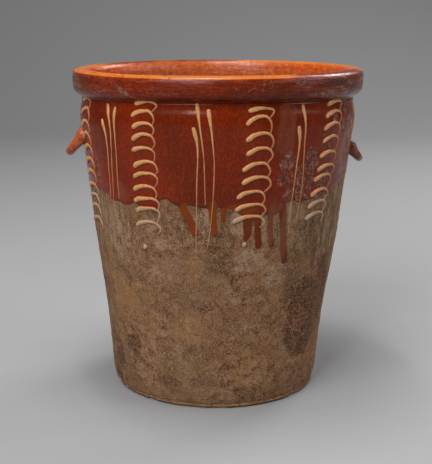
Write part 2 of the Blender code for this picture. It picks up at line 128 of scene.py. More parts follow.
# Marks on the wall: azimuth, height, half width and half height in millimetres, strength, tilt if any
MARKS = {
    # Worn glaze; the marks from 58 to 72 degrees, towards the right side's edge, are also a painted sheen, a pale
    # strip where light grazes the glaze
    "wear": (
        (25.4, 253, 8, 14, 0.9, 10), (24.6, 235, 7, 14, 0.7), (37.5, 254, 10, 13, 1), (38.5, 232, 8, 16, 0.8),
        (31, 243, 9, 14, 0.75), (33, 230, 10, 14, 0.75), (27, 222, 9, 10, 0.7), (37, 216, 9, 9, 0.8),
        (43, 214, 9, 8, 0.8), (48, 244, 6, 16, 0.7), (52, 212, 10, 6, 0.7), (47, 262, 6, 12, 0.5),
        (44, 268, 6, 7, 0.6), (63, 285, 6, 14, 0.8), (65, 255, 6, 18, 0.9), (66, 228, 6, 12, 0.8),
        (33, 219, 7, 7, 0.6), (46, 228, 8, 14, 0.7), (60, 302, 12, 6, 0.9, -10), (50, 294, 6, 6, 0.6),
        (58, 281, 6, 12, 0.8), (70, 258, 10, 26, 0.6), (72, 292, 9, 14, 0.7), (-62, 232, 7, 20, 0.5),
        (101, 262, 14, 22, 0.6, 8), (-122, 244, 12, 18, 0.55, -6), (158, 270, 10, 14, 0.45),
        (-164, 231, 8, 14, 0.5, 5),
    ),
    "thin": (
        (-44, 220, 11, 12, 1), (-60, 230, 13, 16, 0.9), (-69, 216, 11, 14, 0.8), (30, 213, 12, 5, 0.6),
        (42, 216, 19, 4, 0.7), (55, 221, 20, 6, 0.9, 12), (20.6, 194, 6, 26, 1.3, -4),
        (27, 186, 7, 34, 1.3, -4), (23, 210, 9, 6, 0.9), (112, 219, 18, 8, 0.8), (-130, 212, 16, 7, 0.8),
        (176, 212, 20, 7, 0.7), (-92, 216, 14, 8, 0.7), (142, 256, 12, 34, 0.5), (-172, 262, 14, 28, 0.5, 6),
    ),
    "wash": (
        (24.5, 300, 9, 8, 1), (24.4, 294, 9, 9, 1), (24.3, 288, 9.2, 9, 1), (24.1, 282, 9.4, 9, 1),
        (24, 276, 9.7, 9, 1), (23.8, 270, 10, 8, 1), (104, 284, 9, 20, 1), (-142, 262, 11, 22, 1),
        (173, 288, 9, 16, 0.9),
    ),
    "amber": (
        (-15.5, 206, 7, 10, 1), (-13, 192, 6, 12, 1), (-4.3, 200, 6, 18, 1), (0, 204, 6, 9, 1),
        (7, 211, 16, 5, 0.9), (12, 196, 10, 12, 0.4), (118, 202, 6, 16, 0.9), (-160, 200, 7, 14, 1),
        (-101, 205, 6, 10, 0.8), (-30, 296, 9, 8, 0.4), (-58, 270, 8, 20, 0.4),
    ),
    "rose": (
        (-41, 64, 8, 5, 0.9, 30), (-33, 74, 8, 4, 0.7, 30), (-10, 108, 8, 6, 0.8), (-27, 152, 6, 10, 0.8),
        (-34, 181, 9, 8, 1), (-49, 208, 9, 8, 0.9), (-23, 206, 6, 8, 0.9), (11, 152, 6, 7, 0.9),
        (52, 152, 8, 16, 0.9), (60, 134, 7, 14, 0.8), (-7, 96, 16, 5, 0.5), (3, 44, 14, 7, 0.4),
        (37, 205, 12, 5, 0.6), (-18, 168, 8, 12, 0.5), (98, 168, 10, 9, 0.8), (150, 126, 12, 8, 0.7),
        (-158, 158, 10, 10, 0.8), (-118, 70, 12, 7, 0.7),
    ),
    "stain": (
        (43, 120, 20, 12, 0.9), (49, 100, 20, 22, 1.2), (50, 78, 20, 22, 1.2), (38, 98, 9, 15, 0.8),
        (37, 76, 8, 14, 0.7), (47, 58, 18, 12, 0.9), (61, 102, 18, 30, 1), (58, 133, 12, 18, 0.7),
        (40, 92, 10, 18, 0.7), (-49, 59, 10, 9, 1), (-64, 40, 8, 16, 1), (-69, 12, 9, 10, 1),
        (-8, 110, 13, 7, 0.3), (128, 84, 24, 26, 0.6), (-140, 60, 20, 24, 0.7), (170, 128, 22, 12, 0.4),
    ),
    # Grey-pink bloom; the two marks low on the right, at 17 and 43 degrees, are painted light that brightens that
    # side
    "ash": (
        (6, 197, 8, 12, 0.9), (17, 187, 5, 16, 0.6), (12, 158, 16, 12, 0.9), (23, 142, 15, 14, 0.6),
        (11, 134, 14, 10, 0.4), (-8, 198, 5, 14, 0.7), (-27, 172, 8, 6, 0.6), (-28, 141, 19, 14, 0.5),
        (-52, 174, 11, 30, 0.6), (-57, 182, 10, 25, 0.7), (35, 190, 12, 18, 0.5), (59, 171, 16, 30, 0.4),
        (8, 118, 12, 5, 0.5), (6, 79, 3, 3, 0.9), (-29, 78, 6, 6, 0.5), (17, 30, 14, 8, 0.4),
        (43, 42, 19, 10, 0.4), (29, 202, 3, 18, 0.6), (104, 196, 22, 14, 0.6), (138, 150, 18, 14, 0.6),
        (150, 190, 26, 14, 0.6), (-118, 192, 24, 14, 0.6), (-150, 132, 20, 12, 0.5), (-168, 186, 20, 20, 0.6),
        (-98, 96, 18, 10, 0.4), (96, 60, 16, 10, 0.4), (180, 44, 22, 9, 0.4),
    ),
    "umber": (
        (2, 184, 9, 18, 0.9), (1, 164, 10, 16, 0.8), (-26, 203, 7, 12, 0.9), (-14, 196, 6, 10, 0.7),
        (4, 204, 8, 8, 0.9), (-66, 50, 5, 14, 1), (-62, 30, 8, 9, 0.9), (-48, 54, 6, 8, 1),
        (-71, 44, 7, 26, 1.2), (-50, 20, 14, 5, 0.9), (-28, 26, 16, 6, 0.8), (-10, 30, 14, 7, 0.7),
        (-31, 206, 8, 9, 0.8), (-22, 201, 7, 8, 0.8), (-5, 184, 7, 16, 0.8), (-4, 160, 8, 16, 0.7),
        (51, 192, 14, 26, 1), (50, 164, 14, 20, 1), (62, 176, 14, 34, 0.7), (33, 158, 9, 16, 0.8),
        (34, 128, 9, 18, 0.8), (-24, 205, 8, 8, 0.7), (9, 60, 4, 9, 0.6, 40), (-14, 60, 12, 8, 0.4),
        (-52, 30, 10, 12, 0.5), (-1, 159, 15, 18, 0.6), (4, 145, 6, 14, 0.6), (-18, 189, 10, 16, 0.5),
        (-35, 180, 10, 6, 0.7), (40, 189, 14, 12, 0.8), (34, 142, 12, 28, 0.5), (-31, 203, 11, 5, 0.5),
        (23, 180, 3, 14, 0.9), (3, 99, 7, 5, 0.4), (-3, 60, 13, 5, 0.4), (84, 176, 16, 22, 0.5),
        (112, 150, 14, 16, 0.6), (158, 158, 14, 24, 0.6), (-172, 92, 16, 12, 0.5), (-128, 168, 12, 20, 0.6),
        (-104, 142, 14, 18, 0.5), (-84, 178, 10, 18, 0.5),
    ),
    "tan": (
        (15, 42, 18, 16, 0.8), (10, 58, 14, 10, 0.6), (-53, 104, 21, 25, 0.8), (-37, 79, 23, 20, 0.3),
        (-12, 150, 12, 20, 0.5), (-48, 155, 16, 14, 0.4), (-15, 85, 24, 20, 0.5), (-60, 142, 10, 26, 0.5),
        (20, 92, 16, 20, 0.3), (92, 112, 22, 24, 0.6), (146, 104, 22, 22, 0.5), (-156, 112, 24, 20, 0.5),
        (-112, 116, 20, 24, 0.6),
    ),
    "smear": (
        (-66, 190, 24, 46, 1), (-47, 184, 18, 26, 0.8), (-9, 196, 12, 16, 0.7), (42, 188, 22, 30, 0.8),
        (57, 184, 24, 50, 1), (72, 174, 22, 54, 1), (-70, 110, 10, 60, 0.6), (100, 186, 26, 40, 0.8),
        (130, 180, 24, 34, 0.6), (172, 182, 26, 38, 0.8), (-140, 184, 26, 44, 0.7), (-100, 184, 26, 40, 0.9),
    ),
}

# Fine lines in the clay: azimuth and height in millimetres of points
SCORES = {
    "crack": (
        ((-4.5, 118.4), (-2.1, 113.6), (0.3, 107.1), (1.2, 103.9)),
        ((-30.1, 33.4), (-29.6, 21.7), (-28.2, 17.7)), ((-29.9, 42.4), (-27.4, 38.8), (-26.1, 39.3)),
        ((-13.6, 81.4), (-9, 78.5)), ((4, 158.6), (4.9, 152.4)), ((4.9, 143.5), (4.2, 134), (5.7, 126.8)),
        ((5.7, 126.8), (8.6, 133.6)), ((-46.2, 133.2), (-45.4, 127.6)), ((-9, 57.6), (-6.3, 53.6)),
        ((3.3, 52.1), (-0.6, 42.4)), ((-12.6, 111.9), (-9.5, 106.5)), ((-36, 31), (-36.3, 22)),
        ((30, 42.7), (25.9, 37.6)),
    ),
    "scratch": (
        ((1.6, 111.4), (7.1, 114.9), (12.7, 117.9)), ((-16.6, 104.1), (-16.2, 85.3)),
        ((34.2, 92.4), (33.8, 100.1), (34.1, 106.6), (35.8, 112.4)), ((38.7, 92.1), (43.7, 90.9), (49.4, 91.3)),
        ((39.5, 110.9), (43.9, 114.4), (50, 119.1)), ((35.9, 129.7), (37.9, 117.3)), ((45, 75.9), (48.3, 66.8)),
        ((43.3, 101.5), (46.8, 93.2)), ((36, 87.2), (38.6, 79.6), (43.6, 74)), ((46.6, 106.5), (49.6, 109.4)),
        ((40.3, 86.5), (46.6, 85.6), (52.1, 86.1)), ((53.4, 75.4), (58.5, 63.6)), ((57, 107.7), (64.2, 97)),
        ((39.9, 71.3), (43.6, 63)), ((31.6, 103.1), (33.1, 92.7), (36.2, 85)), ((50, 146.1), (54, 133.4)),
        ((12.1, 26.9), (18.5, 32.1)),
    ),
}
SCORE_WIDTH = 0.004

# Fine lines behind: their count, seed and greatest height, then the azimuths and millimetres that they keep to
BACK_SCORES = {"crack": (16, 15, 190), "scratch": (26, 30, 190)}
BACK = (76, 284)
LOWEST_SCORE = 18
SCORE_BEND = 0.7
SCORE_STEPS = (4, 9)
DEGREES_PER_MM = 0.45

# Marks on the rim's band, laid out as the wall's are
RIM_MARKS = {
    "wear": (
        (-41.4, 321.6, 3.2, 13, 0.62, 58.7), (51, 331, 6, 2.5, 0.6), (55.5, 326, 9, 3.5, 0.6),
        (28, 327, 9, 3, 0.5), (78, 322, 18, 9, 0.8), (96, 322, 4, 12, 0.8, -50), (-126, 324, 4, 10, 0.8, 40),
        (172, 321, 10, 3, 0.7), (-80, 324, 12, 8, 0.5), (38, 315, 22, 2.5, 0.7),
    ),
    "bruise": (
        (-72, 322, 20, 9, 0.9), (-50, 317, 16, 4, 0.4), (-22, 318, 30, 3, 0.4), (-12, 326, 20, 4, 0.3),
        (30, 325, 14, 6, 0.7), (50, 322, 24, 8, 1), (72, 320, 20, 10, 1), (110, 322, 30, 7, 0.7),
        (160, 320, 34, 6, 0.7), (-150, 322, 30, 7, 0.8), (-110, 320, 22, 7, 0.7),
    ),
    "shade": (
        (46, 326, 18, 5, 0.9), (58, 319, 14, 7, 0.9), (34, 319, 20, 3, 0.6), (25, 329, 10, 4, 0.6),
        (-66, 322, 12, 9, 0.6), (70, 322, 16, 8, 0.7), (108, 318, 22, 5, 0.6), (150, 324, 20, 6, 0.7),
        (-148, 319, 24, 5, 0.7), (-104, 324, 18, 6, 0.6),
    ),
}
RIM_SCRATCHES = (
    ((13.8, 333), (13.2, 327), (12.7, 320.5)), ((15.7, 329.7), (16.3, 325.4), (16.2, 323.5), (15.5, 322.5)),
    ((7.6, 320.1), (9.6, 323.7), (10.5, 321.1)), ((-63.2, 318.5), (-59.6, 313.2), (-56.4, 311)),
    ((-36.2, 327.9), (-35.7, 325.2)), ((-60.1, 321.8), (-57.2, 316.6), (-52.8, 313.7)),
    ((3.3, 322.1), (3.6, 323.9)), ((-54.1, 319.1), (-51.1, 316)), ((88, 326), (91, 319)),
    ((126, 322), (132, 319), (136, 320)), ((-170, 327), (-168, 319)), ((-112, 320), (-108, 325)),
    ((-92, 328), (-90, 320)),
)
RIM_SCRATCH_WIDTH = 0.0021
MARK_CORE = 0.7
MARK_FALL = 1.5

# Trailed slip. Heads of the feather strokes: azimuth, height in millimetres
FEATHERS = {
    1: {"top": (-75, 303), "bottom": (-77.5, 178.5), "count": 11, "rise": 5.5, "span": (22.8, 28.8)},
    2: {
        "heads": (
            (-35.4, 307.6), (-36.8, 296.7), (-36.3, 285.8), (-36.7, 274.4), (-37.1, 263.6), (-36.7, 248.5),
            (-37.2, 238.1), (-37.7, 225.6), (-37.8, 214.4), (-37.3, 204.6), (-38, 189.9),
        ),
        "rises": (2.7, 4.9, 4.4, 5.3, 3.5, 5.2, 4.4, 4.3, 3.5, 3.5, 4.3),
        "span": (22, 26),
    },
    3: {
        "heads": (
            (9.3, 304.4), (8.4, 292.6), (8.6, 277.6), (8.8, 264), (7.6, 249.2), (7.6, 236.6), (5.8, 222.8),
            (5.3, 210.6), (4.5, 198.9),
        ),
        "rises": (1.8, 6.5, 6.1, 5.6, 6.2, 5.6, 5.6, 5, 5.1),
        "span": (23, 29),
    },
    4: {
        "heads": (
            (45.4, 306.6), (44.1, 295.4), (43.4, 283.6), (43.5, 271.4), (42.7, 256.9), (42.2, 243.5),
            (41, 233.9), (40, 219.2), (39.4, 207.4), (38.7, 196),
        ),
        "rises": (2.6, 4.2, 4.6, 4, 3.6, 3.8, 4, 4.4, 4.2, 4),
        "span": (27, 27),
    },
    5: {"top": (125, 303), "bottom": (123, 188), "count": 10, "rise": 5, "span": (21.6, 26.4)},
    6: {"top": (166, 303), "bottom": (163, 182), "count": 11, "rise": 4, "span": (20.4, 27.6)},
    7: {"top": (-155, 303), "bottom": (-158, 185.5), "count": 10, "rise": 5.5, "span": (22.8, 26.4)},
    8: {"top": (-115, 303), "bottom": (-116, 195.5), "count": 9, "rise": 5.5, "span": (20.4, 22.8)},
}

# Stroke: shares of its span and rise, share of the head's width
STROKE = (
    (0, 0, 1.02), (0.05, 0.2, 1.14), (0.16, 0.52, 1.12), (0.34, 0.85, 0.98), (0.52, 1, 0.82),
    (0.7, 0.98, 0.7), (0.86, 0.68, 0.62), (0.96, 0.1, 0.54), (0.99, -0.56, 0.46),
)
TAIL_PLACE = (0.86, 0.62)
TAIL_WIDTH = 0.3

# Lines: azimuth and height in millimetres of points from the head down
LINES = {
    "1_left": ((-53.9, 288), (-52.1, 273), (-52.1, 251), (-53.1, 212.5)),
    "1_middle": ((-51.1, 303), (-48.9, 282), (-49.8, 251), (-50.6, 228), (-51.6, 205), (-54.4, 160)),
    "1_right": ((-46.5, 301), (-46.5, 264), (-47.2, 235), (-47.5, 213)),
    "2_left": ((-11.7, 287), (-10.4, 273), (-10.3, 256), (-10.7, 237), (-11, 204), (-11.4, 168)),
    "2_middle": ((-10.6, 309), (-9.6, 292), (-8.1, 264), (-7.7, 243), (-7.4, 216)),
    "2_right": ((-6.3, 304), (-4.9, 281), (-3.9, 249), (-4.5, 216), (-5.3, 193), (-6.7, 169)),
    "3_left": ((29.4, 287), (30.2, 274), (29.9, 252), (29.4, 217), (28.8, 201), (29.5, 183)),
    "3_middle": ((31.4, 307), (32.5, 290), (32.8, 268), (33.5, 245), (33.8, 228), (32.4, 210), (32.9, 197)),
    "4_left": ((68, 284), (69.3, 268), (69.2, 236), (69, 206)),
    "4_middle": ((70.5, 305), (71.6, 284), (72, 240), (71.2, 205), (71, 176)),
    "4_right": ((74, 296), (75, 276), (74.6, 236), (73.5, 211)),
    "5_left": ((109, 290), (110.2, 270), (109.6, 232), (108.5, 197)),
    "5_middle": ((111.5, 305), (112.9, 282), (113.2, 240), (112.2, 200), (112, 169)),
    "5_right": ((115, 299), (116.2, 276), (115.6, 232), (114.5, 190)),
    "6_left": ((147.5, 286), (149, 262), (148.6, 220), (148, 176)),
    "6_middle": ((150, 305), (151.6, 280), (152, 232), (151.2, 194), (151, 162)),
    "6_right": ((154, 302), (155.2, 276), (154.5, 238), (153.5, 204)),
    "7_left": ((-173, 291), (-171.6, 268), (-172.6, 228), (-174, 190)),
    "7_middle": ((-170.5, 305), (-169, 280), (-169.4, 234), (-170.6, 196), (-171, 168)),
    "7_right": ((-166.5, 301), (-165.2, 272), (-165.9, 222), (-167, 176)),
    "8_left": ((-134, 288), (-132.6, 264), (-133.4, 232), (-134.5, 204)),
    "8_middle": ((-131, 305), (-129.6, 278), (-130, 232), (-131, 196), (-131.5, 162)),
    "8_right": ((-127, 303), (-125.8, 272), (-126.6, 226), (-128, 182)),
}

# Millimetres below the head, share of the lines' width
LINE_WIDTHS = (
    (0, 1.4), (4, 1.6), (9, 1.3), (15, 0.94), (22, 0.76), (34, 0.63), (50, 0.55), (75, 0.48), (105, 0.42),
    (150, 0.36),
)

# Worn line groups, with their widths as shares of the others'
FAINT_LINES = {"4": 0.45}

# Rim outline: millimetres in from the face and up from the seat, stretched to the height of the CAD rim
RIM_OUTLINE = (
    (18.2, 0), (18.25, 8), (18.1, 15), (17.5, 19.5), (16.2, 22.8), (14.2, 25), (11.6, 26.3), (8.6, 26.6),
    (5.6, 26.2), (3.2, 25.4), (1.5, 24.2), (0.5, 22.6), (0.05, 20.5), (0, 17), (0.1, 13.5), (0.35, 10.8),
    (0.9, 8.2), (2, 5.9), (3.6, 4.1), (5.7, 2.6), (7.8, 1.4), (9, 0.5), (9.3, 0),
)
RIM_ROWS = 92
RIM_SEATING = 0.006

# Depths from the rim's face over which its marks end and its inside begins, and the lip's edge below the top
RIM_FACE = (0.009, 0.006)
RIM_INSIDE = (0.0125, 0.0165)
LIP_HEIGHT = 0.008
LIP_EDGE = (0.0034, 0.0018)

# Wear of the lip: its dark place, and how much of it is left behind and on the patches there
LIP_DARK = 50
LIP_DARK_REACH = (40, 6)
LIP_DARK_SHARE = 0.9
LIP_BEHIND = (95, 130)
LIP_PATCHES = (-0.2, 0.5)
LIP_LOSS = (0.5, 0.4)

# Rows of the wall: heights between bands, and rows above, along and below the glaze's edge and inside
WALL_BANDS = (0.235, 0.14)
WALL_ROWS = (40, 75, 46, 46)
JOINT_LIP = 0.0002

# Floor slab: shares of its radius on top and underneath, rows of its side, and the rounding of its edge
FLOOR_TOP = (0.02, 0.3, 0.6, 0.85, 0.96)
FLOOR_UNDERSIDE = (0.95, 0.8, 0.5, 0.25, 0.02)
FLOOR_SHOULDER = 0.001
FLOOR_SIDE_END = 0.0022
FLOOR_SIDE_ROWS = 12
FOOT_EDGE = ((0.35, 0.0011), (0.7, 0.00035), (1, 0))
FOOT_ROUND = 0.0021
FOOT_BEND = 0.8
FOOT_NICKS = 0.4

# Wear of the foot: nicks all round, and one chip at an azimuth
NICK_DEPTH = 0.0016
NICK_EDGE = (0.45, 0.9)
NICK_FADE = (0.012, 0.002)
CHIP_DEPTH = 0.0022
CHIP = (285, 5)

# Glaze depths of places that are wholly bare or wholly glazed
BARE = -0.2
GLAZED = 0.1

# Ears: azimuth, share of the thickness, colour
EAR_SIDES = {"left": (-90, 1, "ear"), "right": (90, 0.86, "ear_dark")}
EAR_TURNS = (-22, 202)
EAR_STEPS = 72
EAR_COLUMNS = 32
EAR_ROOT_SHARE = 0.44
EAR_FLARE = 2.2
EAR_ROUNDNESS = 0.85
EAR_BREADTH = 1.05
EAR_DEPTH = 0.95
EAR_GROOVE = 0.12
EAR_GROOVE_HALF = 0.5
EAR_LUMPINESS = 0.05
EAR_LUMPS = (7, 0.35)
EAR_SEED = 51

# Trails: angles of the points across a trail and round its ends, how full its slip looks, how far its feet sink
TRAIL_TURNS = np.radians((0, 14, 34, 56, 78, 102, 124, 146, 166, 180))
TRAIL_FEET = (-0.8, 0.8)
END_TURNS = np.radians((8, 25, 45, 68))
TRAIL_BODY = 1.15
TRAIL_SINK = 0.0005
TRAIL_OVERLAP = 0.00005
TRAIL_STEP = 0.0011
TRAIL_STEPS = 24
TRAIL_SWELL = 0.07
TRAIL_SPREAD = 9000
TRAIL_CELLS = (40, 0.006)

# Small random differences between strokes, and the hook from a stroke down to the next
FEATHER_SEED = 60
HEAD_STRAY = (0.4, 0.7)
RISE_STRAY = 0.7
FIRST_RISE = 0.5
SPAN_STRAY = (0.95, 1.04)
WIDTH_STRAY = (0.93, 1.07)
STROKE_STRAY = 0.0003
HOOK_BULGE = 0.0004
HOOK_WIDTH = 0.41
LAST_DROP = 0.0095
LINE_SEED = 300
LINE_STEPS = 60
LINE_END = 6
LINE_RISE = 0.85

# Drops: across, up and share of the width
DROP = ((0, 0.0006, 0.95), (0.0001, 0, 1), (-0.0002, -0.0008, 0.9))
DROP_RISE = 0.4
DROP_TRIM = 0.0008
DROP_SEED = 400

# Unevenness: depth in metres, cells round the pot, height of a cell, seed
UNEVEN = {
    "dents": (0.0006, 7, 0.075, 2),
    "lumps": (0.00018, 60, 0.013, 3),
    "grit": (0.00014, 210, 0.0042, 4),
    "flakes": (1, 90, 0.01, 5),
    "inner side": (0.0004, 5, 0.006, 11),
    "glaze edge": (0.0008, 150, 0.004, 21),
    "nicks": (1, 46, 1, 31),
    "rim": (0.0005, 6, 0.2, 41),
    "rim lumps": (0.00022, 44, 0.02, 42),
    "rim streaks": (0.00012, 9, 0.0024, 43),
    "lip": (0.0004, 9, 0.2, 44),
    "lip wear": (1, 14, 1, 45),
}
RING_CELLS = 5
RING_SEED = 1
WAVE_ROWS = 256
WAVE_START = 8

# Bake map: margin and fill of each strip, and the reach of a cap
UV_EDGE = 0.02
UV_FILL = 0.96
UV_CAP = 0.015
LEAST_STEP = 1e-6

GLAZE_IOR = 1.45
CLAY_ROUGHNESS = 0.9

# Lamps: name, place, target, size, setting that holds the power
LAMPS = (
    ("key_lamp", (-1.02, -1.55, 1.85), (0, 0, 0.17), (1.3, 1.3), "key"),
    ("key_glint", (-0.74, -1.74, 1.2), (0, 0, 0.28), (0.07, 0.05), "glint"),
    ("side_glint", (1.86, 0.36, 1.2), (0, 0, 0.28), (0.07, 0.05), "glint"),
    ("top_lamp", (-0.25, -0.1, 1.9), (0, 0, 0.3), (0.9, 0.9), "top"),
    ("top_strip", (-0.2, -0.05, 1.8), (0, 0, 0.3), (0.62, 0.12), "strip"),
    ("rear_lamp", (1.15, 1.3, 1.5), (0.6, 0.7, 0), (0.8, 0.8), "rear"),
    ("fill_panel", (1.75, -0.5, 1.15), (0, 0, 0.2), (0.8, 0.8), "fill"),
)

# Floor and backdrop: places from front to back and from side to side, bend, height and faint clouds
FLOOR_PLACES = (-7, -3, -1, 0, 1, 1.9)
SWEEP_SIDES = (-7, -2, 0, 2, 7)
SWEEP_BEND = 1.1
SWEEP_STEPS = 16
BACKDROP_HEIGHT = 5
PAPER_CLOUDS = (2.5, 2)
PAPER_CLOUD_SHARE = 0.1
PAPER_ROUGHNESS = 0.9
CAMERA_CLIP = (0.05, 50)


def smooth(value, start, end):
    """0 at the start, 1 at the end, with an eased change between. The start may be above the end."""
    share = np.clip((np.asarray(value, float) - start) / (end - start), 0, 1)
    return share * share * (3 - 2 * share)


def hump(value, middle, half):
    """1 at the middle, falling away to either side."""
    return np.exp(-(((value - middle) / half) ** 2))


def turned(azimuth, start=0):
    """Degrees from one azimuth to another, from -180 to 180."""
    return np.mod(np.asarray(azimuth, float) - start + 180, 360) - 180


def round_pot(azimuth, radius, height):
    """Points at an azimuth, a radius and a height."""
    turn = np.radians(azimuth)
    return np.stack([radius * np.sin(turn), -radius * np.cos(turn), height], -1)


def waves(azimuth, height, around, step, seed):
    """Eased random values from -1 to 1, so many cells round the pot and one to each step of height."""
    table = np.random.default_rng(seed).uniform(-1, 1, (around, WAVE_ROWS))
    across = np.mod(azimuth, 360) / 360 * around
    up = np.asarray(height, float) / step + WAVE_START
    column = np.floor(across).astype(int)
    row = np.floor(up).astype(int)
    across = smooth(across - column, 0, 1)
    up = smooth(up - row, 0, 1)
    left, right = column % around, (column + 1) % around
    low, high = row % WAVE_ROWS, (row + 1) % WAVE_ROWS
    bottom = table[left, low] * (1 - across) + table[right, low] * across
    top = table[left, high] * (1 - across) + table[right, high] * across
    return bottom * (1 - up) + top * up


def uneven(kind, azimuth, height):
    """One kind of unevenness of the pot, by its name."""
    depth, *cells = UNEVEN[kind]
    return depth * waves(azimuth, height, *cells)


def rings_of(node):
    """Heights of a turned CAD node's rings, with the largest and the smallest radius on each."""
    points = np.array([vertex.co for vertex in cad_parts[node].data.vertices], float)
    radii = np.hypot(points[:, 0], points[:, 1])
    levels = np.round(points[:, 2] / RING_STEP).astype(int)
    heights = np.unique(levels)
    outer, inner = (np.array([end(radii[levels == level]) for level in heights]) for end in (np.max, np.min))
    return heights * RING_STEP, outer, inner


def softened(height, heights, radii):
    """Radius at a height, with the corners of the outline eased."""
    weights = [math.exp(-offset * offset / 2) for offset in OUTLINE_SPREAD]
    places = [height + offset * OUTLINE_SOFTNESS for offset in OUTLINE_SPREAD]
    return sum(weight * np.interp(place, heights, radii) for weight, place in zip(weights, places)) / sum(weights)


def wall_radius(height):
    """Radius of the turned CAD wall's outer side, and of the foot below it."""
    return np.interp(height, outline_heights, outline_radii)


wall_heights, wall_outer, wall_inner = rings_of(WALL_NODE)
floor_outer = rings_of(FLOOR_NODE)[1]
foot_height = float(wall_heights[0])
neck_height = float(wall_heights[-1])
neck_radius = float(wall_outer[-1])
rim_seat = float(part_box(RIM_NODE)[0].z)
rim_radius = float(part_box(RIM_NODE)[1].x)
pot_height = float(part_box(RIM_NODE)[1].z)
outline_heights = np.concatenate([[-OVERRUN, 0], wall_heights, [neck_height + OVERRUN]])
outline_radii = np.concatenate([[floor_outer[1] - UNDERCUT, floor_outer[1]], wall_outer, [neck_radius]])


def glaze_depth(azimuth, height):
    """Distance inside the lower edge of the glaze, in metres, or outside it where negative."""
    angles, heights = np.array(GLAZE_EDGE, float).T
    depth = height - np.interp(turned(azimuth), angles, heights / MM, period=360)
    depth = depth + uneven("glaze edge", azimuth, height)
    for _, run in run_depths(azimuth, height):
        near = np.clip(0.5 + 0.5 * (run - depth) / DRIP_JOINING, 0, 1)
        depth = depth + (run - depth) * near + DRIP_JOINING * near * (1 - near)
    return depth


def drip_depth(azimuth, height, places, first=0, last=0):
    """Distance inside one run of glaze, from half its first width to half its last."""
    count = len(places) - 1
    inside = np.full(np.shape(azimuth), -1.0)
    for i in range(count):
        (start_azimuth, start), (end_azimuth, end) = places[i:i + 2]
        start, end = start / MM, end / MM
        radius = wall_radius(start)
        across = np.radians(turned(azimuth, start_azimuth)) * radius
        side = math.radians(end_azimuth - start_azimuth) * radius
        drop = end - start
        along = np.clip((across * side + (height - start) * drop) / (side * side + drop * drop), 0, 1)
        gap = np.hypot(across - along * side, height - start - along * drop)
        width = first + (last - first) * (i + along) / count
        inside = np.maximum(inside, width - gap)
    return inside


def run_depths(azimuth, height):
    """Darkness of each run of glaze, and the distance inside it."""
    for first_width, last_width, darkness, *places in DRIPS:
        yield darkness, drip_depth(azimuth, height, places, first_width / 2 / MM, last_width / 2 / MM)


def drip_tone(azimuth, height):
    """Darkness of the thick glaze in the runs."""
    tone = np.zeros(np.shape(azimuth))
    for darkness, inside in run_depths(azimuth, height):
        tone = np.maximum(tone, darkness * smooth(inside, -DRIP_EDGE, DRIP_EDGE))
    return tone


def mark(places, azimuth, height):
    """Strength of one kind of mark."""
    strength = np.zeros(np.shape(azimuth))
    for mark_azimuth, mark_height, half_width, half_height, amount, *tilt in places:
        across = np.radians(turned(azimuth, mark_azimuth)) * wall_radius(mark_height / MM)
        up = height - mark_height / MM
        tilt = math.radians(tilt[0] if tilt else 0)
        side = (across * math.cos(tilt) + up * math.sin(tilt)) / (half_width / MM)
        rise = (up * math.cos(tilt) - across * math.sin(tilt)) / (half_height / MM)
        fall = np.exp(-MARK_CORE * (side * side + rise * rise) ** MARK_FALL)
        strength = np.maximum(strength, amount * fall)
    return strength


def score(lines, azimuth, height, width):
    """1 along the middle of some fine lines, falling to 0 a width away."""
    near = np.zeros(np.shape(azimuth))
    for places in lines:
        near = np.maximum(near, 1 + drip_depth(azimuth, height, places) / width)
    return near


def back_scores(count, seed, highest):
    """Wandering fine lines for the sides and back of the clay."""
    rng = np.random.default_rng(seed)
    lines = []
    for _ in range(count):
        place = np.array([rng.uniform(*BACK), rng.uniform(LOWEST_SCORE, highest)])
        heading = rng.uniform(0, math.tau)
        line = [tuple(place)]
        for _ in range(rng.integers(1, 4)):
            heading += rng.uniform(-SCORE_BEND, SCORE_BEND)
            step = rng.uniform(*SCORE_STEPS)
            place = place + step * np.array([DEGREES_PER_MM * math.cos(heading), math.sin(heading)])
            line.append(tuple(place))
        lines.append(tuple(line))
    return tuple(lines)


def wall_marks(azimuth, height):
    """Every kind of mark on the wall, by its name."""
    values = {kind: mark(places, azimuth, height) for kind, places in MARKS.items()}
    for kind, lines in SCORES.items():
        values[kind] = score(lines + back_scores(*BACK_SCORES[kind]), azimuth, height, SCORE_WIDTH)
    return values


def settle(azimuth, height):
    """How far the settled clay lies above its turned height."""
    shape = bpy.context.scene.pot_shape
    turn = np.radians(azimuth)
    start, neck, end = NECK_FADE
    lift = smooth(height, start, neck) * smooth(height, end, neck)
    lean = neck_radius * (shape.rim_lean * np.sin(turn) + shape.front_lean * np.cos(turn))
    return shape.neck_lift * np.cos(2 * turn) * lift + lean * smooth(height, *LEAN_FADE)


def relief(azimuth, height, depth):
    """Height of the throwing rings, dents, lumps and the glaze coat on the outer side."""
    shape = bpy.context.scene.pot_shape
    climb = height + azimuth / 360 * shape.ring_pitch
    rings = shape.ring_depth * waves(azimuth, climb, RING_CELLS, shape.ring_pitch / 2, RING_SEED)
    dents, lumps, grit, flakes = (uneven(kind, azimuth, height) for kind in ("dents", "lumps", "grit", "flakes"))
    rough = (grit - FLAKE_DEPTH * smooth(flakes, *FLAKE_EDGE)) * smooth(depth, *BARE_EDGE)
    coat = smooth(depth, *COAT_EDGE) + BEAD_SHARE * hump(depth, *BEAD)
    shoulder = -SHOULDER_DEPTH * smooth(height, *SHOULDER)
    foot = FOOT_LIP_DEPTH * hump(height, *FOOT_LIP) - FOOT_GROOVE_DEPTH * hump(height, *FOOT_GROOVE)
    surface = rings + dents + lumps + rough + shape.glaze_thickness * coat
    return surface * smooth(height, *FOOT_FADE) + shoulder + foot


def outer_radius(azimuth, height, depth):
    """Radius of the finished outer side at a turned height."""
    return softened(height, outline_heights, outline_radii) + relief(azimuth, height, depth)


